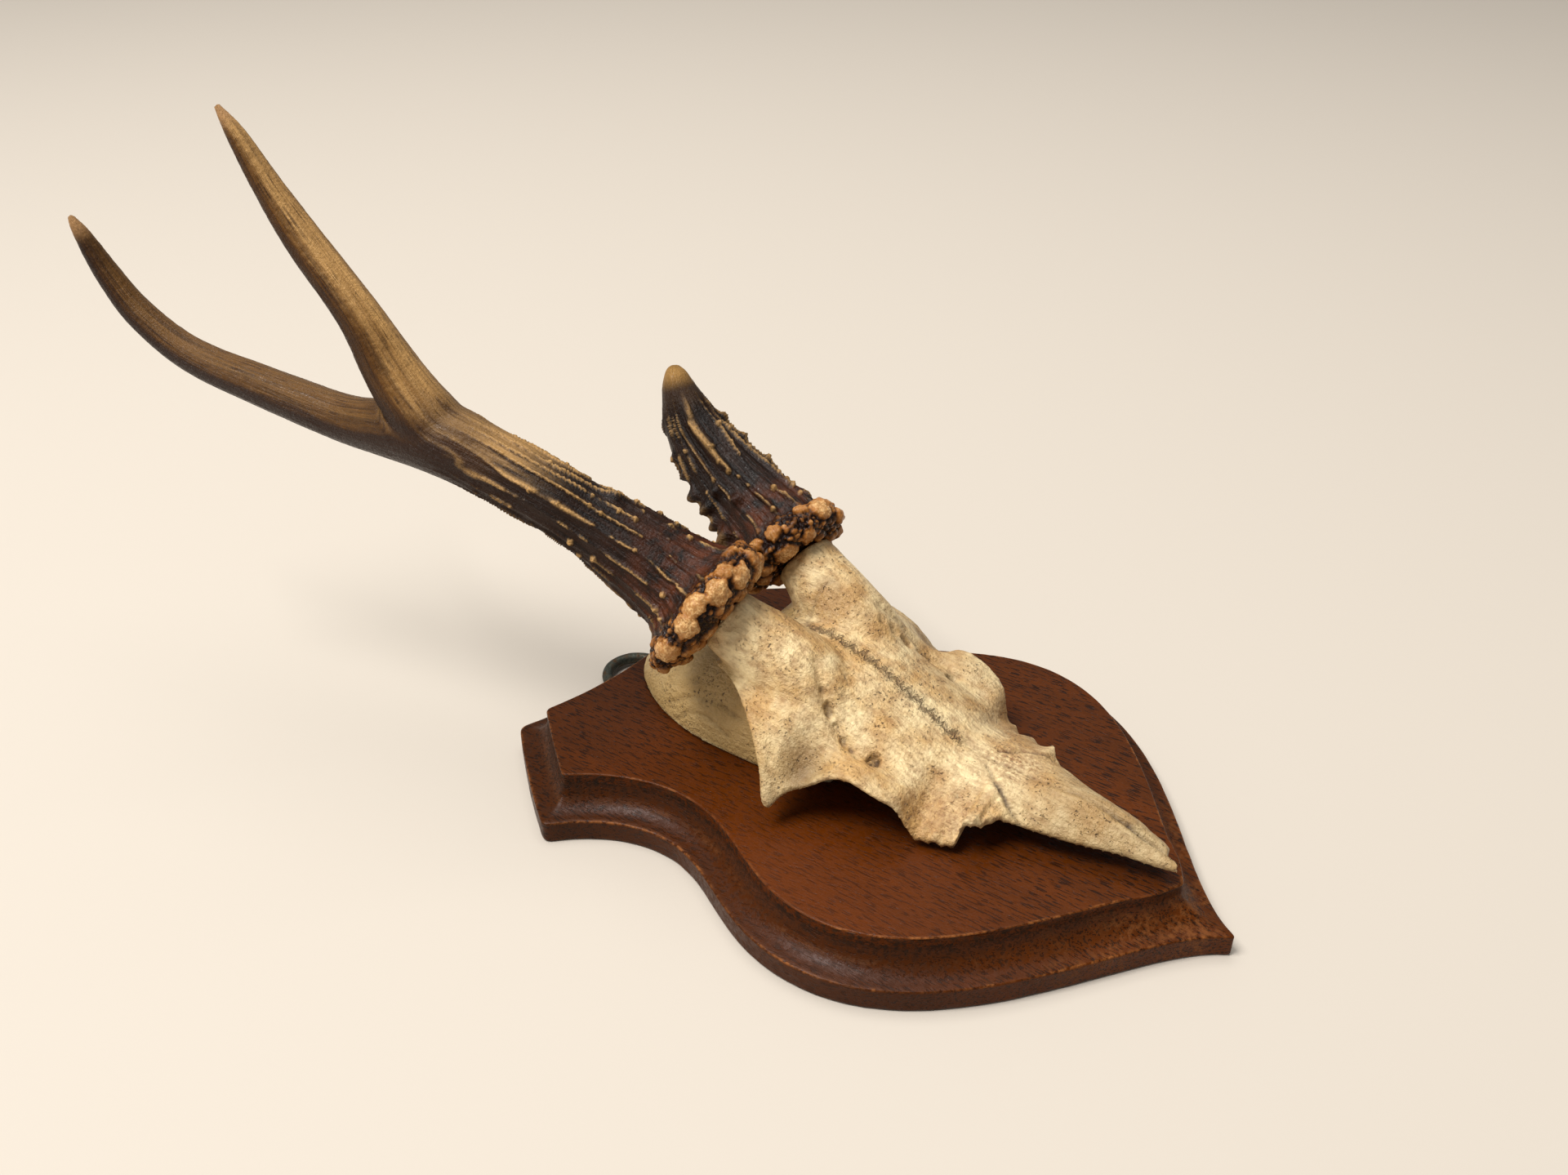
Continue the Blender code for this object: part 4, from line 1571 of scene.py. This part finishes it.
        return np.maximum(np.clip(dirt + lines, 0, 1), 0.55 * furrows)

    def tint(self, surface: Surface, table: Array, outer: Array, dirt: Array) -> None:
        """Paints where the bone is dirty, olive, sawn and warm, the painted shade in its hollows, under the
        brow and on its front wall, and where the middle seam runs.

        Args:
            surface: the carved bone.
            table: its points on the tables, before carving.
            outer: 1 on the outer side of the bone, 0 on the inner side.
            dirt: how dirty each point is after carving.
        """
        mirrored = np.abs(table)
        x, along, up = table.T
        ridge_height = 24.0 + 0.75 * (along - 111.0)
        olive = smooth_step(ridge_height - up, -1.0, 5.0) * smooth_step(along, 102, 107)
        # Painted shade round the hooks under the brow, laid in the olive colour; the nose also turns greyer
        # towards its tip
        under_brow = 1.5 * patch(mirrored, (36.0, 98.0, 14.0), 9)
        under_brow = np.maximum(under_brow, 0.8 * smooth_step(along, 50, 30))
        # Painted shade: the braincase's front wall under the brow is painted dark, laid in with the dirt
        front_wall = (along > 94) * (along < 99.5) * (up < 14) * (mirrored[:, 0] < 25)
        hole = 0.8 * patch(table, (-26.0, 126.9, 0.0), 0.9)
        dirt = np.maximum.reduce([dirt, hole, 1.0 * front_wall])
        seam_mask = smooth_step(along, 63, 67) * smooth_step(along, 119, 116) * outer * (np.abs(x) < 5)
        warm = 0.7 * patch(mirrored, (22.0, 58.0, 10.0), 11)
        warm = np.maximum(warm, 0.9 * patch(table, (2.0, 50.0, 14.0), 11))
        hollow = np.hypot((np.abs(x) - 35.5) / 5.5, (along - 95.5) / 5.5)
        # Painted shade in the hollow beside the brow, in the valley beside each pedicle, on the far frontal
        # and round the hooks; the nose is also made darker towards its tip
        shaded = (
            bell(hollow, 1.2) * outer,
            0.5 * bell(np.abs(x) - 8.0, 5.0) * bell(along - 115.0, 7.0) * outer,
            0.5 * smooth_step(along, 48, 30),
            0.30 * smooth_step(x, 3, 16) * smooth_step(along, 118, 108),
            0.45 * patch(mirrored, (43.5, 101.0, 9.0), 11),
        )
        surface.paint(
            seam=np.column_stack([x + 1.3, along, seam_mask]),
            dirt=dirt,
            olive=np.clip(np.maximum(olive, 0.5 * under_brow), 0, 1),
            sawn=smooth_step(up, 1.3, 0.5) * (along > 104),
            warm=np.clip(warm, 0, 1),
            dusk=np.maximum.reduce(shaded),
        )

    def to_table(self, points: Array) -> Array:
        """Turns places in metres into across, along and up in the tables' millimetres."""
        return (points - (0.0, self.nose, self.foot)) / self.scale


# Antlers


@dataclass
class Relief:
    """How the surface of an antler stands out, in metres and shares."""

    crest_height: float
    crests: int
    crest_spacing: float
    crest_length: float
    furrow_depth: float
    fade_start: float
    fade_end: float
    pearls: int
    pearl_reach: float
    tip_reach: float


@dataclass
class Lie:
    """Where the points of an antler lie: metres along and to the tip, and shares of 0 to 1."""

    along: Array
    around: Array
    remaining: Array
    crotch: Array
    dim: Array
    rear: Array


@dataclass
class Antler:
    """One antler on its pedicle. Its table is in millimetres from the burr's underside."""

    name: str
    node: str
    slot: str
    side: Side
    base: Array
    straight: Array
    beam: tuple
    relief: Relief
    lumps: Array
    tine: tuple = ()
    knobs: tuple = ()
    scale: float = MM
    voxel: float = 0.52 * MM
    burr_reach: float = 12 * MM
    mean_radius: float = 11 * MM
    amber_reach: float = 45 * MM
    seed: int = 100

    def place(self, out: Array, along: Array, up: Array) -> Array:
        """Places on the table, in metres in the frame's axes."""
        return self.base + self.scale * np.stack([self.side.value * out, along, up], axis=-1)

    def build(self, material: bpy.types.Material) -> bpy.types.Object:
        """Builds the antler with its burr, ridges and pearls, and dresses it.

        Args:
            material: what it is made of.

        Returns:
            The finished piece.
        """
        beam = Axis.through(
            self.beam, self.place, self.scale, level=(0, self.straight, self.burr_reach)
        )
        axes = [beam]
        pieces = [loft(self.name, beam.rings(96))]
        if self.tine:
            axes.append(Axis.through(self.tine, self.place, self.scale))
            pieces.append(loft("tine", axes[1].rings(72)))
        piece = merge(pieces)
        apply_modifier(piece, "REMESH", mode="VOXEL", voxel_size=self.voxel)
        surface = Surface(piece)
        surface.soften(4)
        along, around, share = beam.locate(surface.points)
        if self.tine:
            fork = along.copy()
            tine_along, tine_around, tine_share = axes[1].locate(surface.points)
            joined = self.tine_start(beam, axes[1])
            on_tine = smooth_step(share - tine_share, -0.35, 0.35)
            crotch = bell(share - tine_share, 0.6) * smooth_step(np.abs(fork - joined), 26 * MM, 4 * MM)
            surface.soften(25, crotch)
            near_fork = smooth_step(np.abs(fork - joined - 6 * MM), 34 * MM, 8 * MM)
            fork_dark = bell(share - tine_share, 1.1) * near_fork
            crotch = np.maximum(crotch, fork_dark * (1 - 0.75 * on_tine))
            rear = smooth_step(fork, joined, joined + 20 * MM) * (1 - on_tine)
            dim = bell(fork - joined - 12 * MM, 26 * MM) * (1 - 0.9 * on_tine)
            dim = np.maximum(dim, 0.5 * rear)
            along = along * (1 - on_tine) + (joined + tine_along) * on_tine
            around = unit(around * (1 - on_tine)[:, None] + tine_around * on_tine[:, None])
            lengths = beam.travelled[-1] * (1 - on_tine) + (joined + axes[1].travelled[-1]) * on_tine
            lie = Lie(along, around, lengths - along, crotch, dim, rear)
        else:
            nowhere = np.zeros(len(share))
            lie = Lie(along, around, beam.travelled[-1] - along, nowhere, nowhere, nowhere + 1)
        self.carve(surface, beam, lie)
        piece.data.shade_smooth()
        finish_piece(piece, material, self.node)
        return piece

    @staticmethod
    def tine_start(beam: Axis, tine: Axis) -> float:
        """How far along the beam the tine starts."""
        nearest = np.argmin(np.linalg.norm(beam.centres - tine.centres[0], axis=1))
        return float(beam.travelled[nearest])

    def carve(self, surface: Surface, beam: Axis, place: Lie) -> None:
        """Raises the burr's lumps, the ridges, pearls and knobs, and paints where they are.

        Args:
            surface: the smooth antler.
            beam: the centre line of the beam.
            place: where its points lie.
        """
        relief = self.relief
        along, around = place.along, place.around
        lie = np.column_stack([around * self.mean_radius, along]) / MM
        warp = 0.35 * fractal_noise(surface.points / (9 * MM), self.seed + 1)
        cell = relief.crest_spacing / MM
        grid = lie / (cell, cell, relief.crest_length / MM) + warp[:, None] * (1, 1, 0)
        free = smooth_step(along, self.burr_reach * 0.75, self.burr_reach * 1.25)
        fade = smooth_step(along, relief.fade_end, relief.fade_start)
        height = 0.08 + 0.92 * fade
        wander = 0.9 * fractal_noise(lie / (10, 10, 60), self.seed + 2)
        wander = wander + 0.22 * value_noise(lie / (7, 7, 9), self.seed + 17)
        phase = np.arctan2(around[:, 1], around[:, 0]) * relief.crests / (2 * math.pi) + wander
        lines = np.clip(1 - 4.6 * np.abs(phase - np.floor(phase) - 0.5), 0, 1) ** 1.3
        thin = crests(grid * (1.9, 1.9, 1.4), self.seed + 3, 0.22) ** 1.5
        broken = smooth_step(fractal_noise(surface.points / (6 * MM), self.seed + 4), -0.25, 0.20)
        ridge = np.clip(lines * (0.45 + 0.55 * broken) + 0.18 * thin, 0, 1)
        furrow = value_noise(grid / (2.2, 2.2, 2.0), self.seed + 5)

        reach = (along > self.burr_reach) & (along < relief.pearl_reach) & (lines > 0.4)
        pearl, pearl_mask = self.pearls(surface.points, reach, relief)
        knob = self.knob_bumps(surface.points, beam)
        burr_mask = smooth_step(along, self.burr_reach * 1.15, self.burr_reach * 0.75)
        lump, pale = self.burr_lumps(surface, burr_mask)
        grain = 0.07 * MM * fractal_noise(surface.points / (1.1 * MM), self.seed + 6)
        raised = free * height * (relief.crest_height * ridge + relief.furrow_depth * furrow)
        surface.push(raised + pearl * (1 - burr_mask) + knob + lump * burr_mask + grain)

        up = surface.normals[:, 2]
        polish = smooth_step(along, relief.fade_start, relief.fade_end)
        top = smooth_step(up, -0.1, 0.7)
        narrow = 0.35 * smooth_step(along, 105 * MM, 85 * MM)
        # Painted light: a pale stripe on the upward faces of the upper beam and tines, partly rubbed wear;
        # less on the rear tine and in the crotch
        stripe = smooth_step(up - narrow, 0.20, 0.62) * smooth_step(along, 54 * MM, 80 * MM)
        stripe = stripe * (1 - 0.85 * place.rear) * (1 - 0.6 * place.crotch)
        shade = smooth_step(up, 0.50, -0.25) + np.maximum(place.crotch, place.dim)
        shade = np.clip(0.88 * shade, 0, 1)
        # The pale ridge lines widen and brighten on the upward faces: partly painted light
        wide = smooth_step(along, relief.fade_start * 0.4, relief.fade_start * 1.1) * top
        bare_ridge = lines * (0.45 + 0.55 * broken)
        pale_lines = smooth_step(bare_ridge, 0.55 - 0.45 * wide, 0.90 - 0.30 * wide)
        crest = pale_lines * free * fade * (0.55 + 0.45 * top)
        knob_tops = 0.35 * smooth_step(knob, 1.8 * MM, 3.6 * MM)
        ends = smooth_step(place.remaining, relief.tip_reach, 0.2 * relief.tip_reach)
        amber = smooth_step(along, self.amber_reach, self.burr_reach) * smooth_step(ridge, 0.9, 0.3)
        above_burr = 1 - burr_mask
        surface.paint(
            lie=lie,
            crest=np.clip(np.maximum.reduce([crest, knob_tops, pearl_mask]), 0, 1),
            polish=polish * above_burr,
            stripe=stripe * above_burr,
            shade=shade * above_burr,
            tip=ends,
            amber=amber * above_burr * 0.8,
            burr=burr_mask,
            lump=burr_mask * pale,
        )

    def pearls(self, points: Array, reach: Array, relief: Relief) -> tuple[Array, Array]:
        """Small round beads on the lower beam: their height in metres and where they are pale.

        Args:
            points: the surface.
            reach: whether each point may carry a bead.
            relief: how many beads there are.

        Returns:
            The height and the paleness of each point.
        """
        chosen = scatter(points[reach], 2.8 * MM, relief.pearls, self.seed + 7)
        sizes = np.random.default_rng(self.seed + 8).uniform(0.55, 1.15, len(chosen)) * MM
        height, owner = domes(points, chosen, sizes)
        return height * 0.75, smooth_step(height / sizes[owner], 0.45, 0.9)

    def knob_bumps(self, points: Array, beam: Axis) -> Array:
        """The height of the large knobs, each given as along, turn, radius and height in millimetres.

        Args:
            points: the surface.
            beam: the centre line of the beam.

        Returns:
            The height of each point in metres.
        """
        height = np.zeros(len(points))
        for along, turn, radius, tall in self.knobs:
            index = int(np.argmin(np.abs(beam.travelled - along * self.scale)))
            tangent = beam.tangents[index]
            left = unit(VIEW_LEFT - tangent * (VIEW_LEFT @ tangent))
            other = np.cross(tangent, left)
            angle = math.radians(turn)
            spoke = left * math.cos(angle) + other * math.sin(angle)
            centre = beam.centres[index] + spoke * beam.radii[index]
            distance = np.linalg.norm(points - centre, axis=1)
            height += bell(distance, radius * self.scale) * tall * self.scale
        return height

    def burr_lumps(self, surface: Surface, burr_mask: Array) -> tuple[Array, Array]:
        """The lumps that crowd round the burr, with small beads between them.

        Args:
            surface: the smooth antler.
            burr_mask: 1 on the burr, 0 away from it.

        Returns:
            Their height in metres, and how pale each point is.
        """
        near_burr = burr_mask > 0
        part = surface.points[near_burr]
        others = scatter(surface.points[burr_mask > 0.5], 6.5 * MM, 30, self.seed + 9)
        large = np.vstack([self.lumps, others])
        random = np.random.default_rng(self.seed + 10)
        large_radii = np.append(np.full(len(self.lumps), 4.2), random.uniform(1.8, 3.2, len(others))) * MM
        small = scatter(part, 1.5 * MM, 1100, self.seed + 11)
        small_radii = random.uniform(0.65, 1.35, len(small)) * MM
        tones = random.uniform(0.15, 1.0, len(small))
        warped = part + 0.6 * MM * np.column_stack(
            [fractal_noise(part / (2.5 * MM), self.seed + 12 + axis) for axis in range(3)]
        )
        rise, owner = domes(warped, large, large_radii)
        hump = rise / large_radii[owner]
        bead, bead_owner = domes(warped, small, small_radii)
        height = np.zeros(len(surface.points))
        pale = np.zeros(len(surface.points))
        rough = 0.35 * MM * fractal_noise(part / (1.2 * MM), self.seed + 16)
        total = 2.1 * MM * hump + bead * (1.0 - 0.8 * hump) + rough - 1.35 * MM
        height[near_burr] = total
        bare = smooth_step(bead / small_radii[bead_owner], 0.25, 0.85) * tones[bead_owner]
        open_part = smooth_step(total, -1.2 * MM, 0.3 * MM)
        centre = smooth_step(hump, 0.25, 1.0) * (owner < len(self.lumps))
        mound = 0.20 + 0.35 * smooth_step(hump, 0.2, 0.9)
        pale[near_burr] = open_part * np.maximum(mound + (1 - mound) * centre, 0.85 * bare)
        return height, pale


# Out, along, up and radius of the points on each antler's centre lines
RIGHT_BEAM = (
    (0.0, 0.0, 0.0, 15.0),
    (1.3, 1.8, 0.8, 20.0),
    (2.8, 5.4, 2.6, 22.2),
    (2.8, 8.4, 4.6, 20.4),
    (2.2, 10.4, 6.2, 15.8),
    (2.7, 15.3, 8.4, 13.9),
    (5.7, 28.9, 16.3, 11.7),
    (9.7, 41.7, 23.5, 9.7),
    (12.7, 50.6, 28.3, 9.4),
    (16.7, 70.3, 35.2, 9.8),
    (19.7, 84.5, 39.2, 10.6),
    (22.3, 101.0, 38.6, 8.8),
    (24.7, 118.5, 37.8, 7.2),
    (28.7, 138.0, 41.0, 6.5),
    (31.7, 152.0, 43.8, 6.1),
    (34.7, 165.5, 46.7, 5.6),
    (37.7, 177.4, 51.6, 5.1),
    (40.7, 188.6, 60.7, 4.5),
    (42.7, 195.8, 71.3, 3.7),
    (44.7, 200.7, 82.9, 2.4),
    (45.7, 203.2, 88.6, 0.9),
)
FRONT_TINE = (
    (18.6, 77.0, 36.6, 7.0),
    (19.9, 86.0, 42.0, 9.6),
    (21.0, 94.0, 50.0, 9.0),
    (21.9, 99.8, 58.5, 8.0),
    (23.7, 107.8, 73.4, 6.2),
    (25.7, 122.6, 91.3, 5.4),
    (27.2, 132.3, 105.3, 4.1),
    (28.2, 140.0, 117.8, 2.8),
    (28.7, 145.8, 125.4, 0.9),
)
LEFT_SPIKE = (
    (0.0, 0.0, 0.0, 13.5),
    (-0.6, 1.6, 0.6, 17.4),
    (-0.4, 4.6, 2.4, 18.5),
    (0.2, 7.6, 4.4, 17.0),
    (1.2, 10.0, 6.0, 13.7),
    (2.7, 19.0, 9.9, 12.2),
    (4.7, 33.9, 18.4, 10.2),
    (6.7, 44.6, 26.6, 8.7),
    (8.4, 51.2, 36.1, 5.9),
    (9.4, 53.8, 42.3, 3.4),
    (9.7, 54.4, 44.6, 1.4),
)
# Along, turn from the left of the photograph in degrees, radius and height of the spike's knobs
SPIKE_KNOBS = (
    (36.0, 0.0, 2.2, 3.6),
    (30.0, 12.0, 1.9, 3.2),
    (25.5, -6.0, 2.2, 3.8),
    (20.0, 6.0, 2.3, 4.0),
    (15.0, -4.0, 2.1, 3.4),
    (43.0, 0.0, 1.6, 1.5),
    (49.0, 8.0, 1.4, 1.1),
    (31.0, 45.0, 1.8, 2.0),
    (24.0, 62.0, 1.8, 1.8),
    (52.0, 178.0, 1.3, 1.1),
    (42.0, 172.0, 1.4, 1.3),
    (37.0, 184.0, 1.4, 1.3),
    (30.0, 170.0, 1.5, 1.3),
)
# The large lumps of the burrs, on the skull's tables: across, along and up
RIGHT_LUMPS = (
    (-22.5, 123.6, 60.9),
    (-40.3, 129.6, 52.3),
    (-43.4, 134.8, 43.4),
    (-37.0, 129.5, 57.8),
    (-31.1, 125.7, 59.9),
    (-11.4, 126.4, 55.9),
)
LEFT_LUMPS = (
    (21.4, 127.8, 60.7),
    (8.2, 130.5, 50.2),
    (2.5, 131.5, 43.5),
    (1.2, 132.4, 42.0),
    (6.0, 131.0, 41.6),
)


# Studio


@dataclass
class Studio:
    """A pale floor, soft lights, and the camera where the photograph was taken from."""

    camera_place: tuple = (-0.29175, -0.16697, 0.292)
    camera_turn: tuple = (57.124, 0.0, -55.08)
    lens: float = 33.92
    sensor: float = 36.0
    floor_size: float = 8.0
    floor_gap: float = 0.2 * MM
    clip_start: float = 0.01
    sky_colour: tuple = (1.0, 0.985, 0.96, 1.0)
    sky_strength: float = 0.28
    light_colour: tuple = (1.0, 0.99, 0.97)
    # Name, place, side and power in watts
    lights: tuple = (("window", (-0.85, 0.55, 2.0), 0.9, 50.0), ("overhead", (0.25, 0.35, 1.8), 1.4, 16.0))

    def build(self, material: bpy.types.Material) -> None:
        """Builds the floor, the lights and the camera.

        Args:
            material: what the floor is made of.
        """
        half = self.floor_size / 2
        corners = [(-half, -half), (half, -half), (half, half), (-half, half)]
        mesh = bpy.data.meshes.new("floor")
        mesh.from_pydata([(x, y, -self.floor_gap) for x, y in corners], [], [(0, 1, 2, 3)])
        mesh.materials.append(material)
        floor = bpy.data.objects.new("floor", mesh)
        bpy.context.scene.collection.objects.link(floor)

        camera_data = bpy.data.cameras.new("camera")
        camera_data.lens = self.lens
        camera_data.sensor_width = self.sensor
        camera_data.clip_start = self.clip_start
        camera = bpy.data.objects.new("camera", camera_data)
        camera.location = self.camera_place
        camera.rotation_euler = [math.radians(angle) for angle in self.camera_turn]
        bpy.context.scene.collection.objects.link(camera)
        bpy.context.scene.camera = camera

        for light in self.lights:
            self.add_light(*light)
        world = bpy.data.worlds.new("studio")
        world.use_nodes = True
        background = world.node_tree.nodes["Background"]
        background.inputs["Color"].default_value = self.sky_colour
        background.inputs["Strength"].default_value = self.sky_strength
        bpy.context.scene.world = world
        bpy.context.scene.view_settings.view_transform = "Standard"

    def add_light(self, name: str, place: tuple, size: float, power: float) -> None:
        """Hangs a square soft light that points at the trophy.

        Args:
            name: its name.
            place: where it hangs, in metres.
            size: the length of its side.
            power: in watts.
        """
        data = bpy.data.lights.new(name, "AREA")
        data.size = size
        data.energy = power
        data.color = self.light_colour
        light = bpy.data.objects.new(name, data)
        light.location = place
        direction = bpy.context.scene.cursor.location - light.location
        light.rotation_euler = direction.to_track_quat("-Z", "Y").to_euler()
        bpy.context.scene.collection.objects.link(light)


def main() -> None:
    """Builds every piece in the frame."""
    logging.basicConfig(level=logging.INFO, format="%(name)s: %(message)s")
    low, high = node_corners("wooden_shield")
    size = high - low
    Shield(size[1], size[0], size[2]).build(VarnishedBeech().build())
    HangingRing().build(BlackenedIron().build())

    low, high = node_corners("skull_cap")
    table_length = SkullCap.braincase_stations[-1][0]
    skull = SkullCap(scale=(high[1] - low[1]) / table_length, nose=low[1], foot=low[2])
    skull.build(AgedBone().build())

    right_top, right_axis = skull.pedicle_top(Side.RIGHT)
    left_top, left_axis = skull.pedicle_top(Side.LEFT)
    Antler(
        "forked_antler",
        "right_antler",
        "light_antler",
        Side.RIGHT,
        right_top + right_axis * BURR_GAP,
        right_axis,
        RIGHT_BEAM,
        Relief(
            crest_height=1.2 * MM,
            crests=17,
            crest_spacing=2.3 * MM,
            crest_length=38 * MM,
            furrow_depth=0.5 * MM,
            fade_start=66 * MM,
            fade_end=100 * MM,
            pearls=40,
            pearl_reach=66 * MM,
            tip_reach=9 * MM,
        ),
        skull.place(*np.array(RIGHT_LUMPS).T),
        tine=FRONT_TINE,
        knobs=((44.0, 155.0, 2.6, 1.6),),
        seed=100,
    ).build(AntlerBone("weathered antler").build())
    Antler(
        "spike_antler",
        "left_antler",
        "dark_antler",
        Side.LEFT,
        left_top + left_axis * BURR_GAP,
        left_axis,
        LEFT_SPIKE,
        Relief(
            crest_height=1.7 * MM,
            crests=14,
            crest_spacing=2.2 * MM,
            crest_length=24 * MM,
            furrow_depth=0.8 * MM,
            fade_start=58 * MM,
            fade_end=66 * MM,
            pearls=45,
            pearl_reach=56 * MM,
            tip_reach=8 * MM,
        ),
        skull.place(*np.array(LEFT_LUMPS).T),
        knobs=SPIKE_KNOBS,
        voxel=0.48 * MM,
        amber_reach=30 * MM,
        seed=200,
    ).build(AntlerBone("blackened antler", smooth="#33200f", tip="#a67c42", rubbed_share=0.7).build())

    Studio().build(MattPaint().build())


if __name__ == "__main__":
    main()
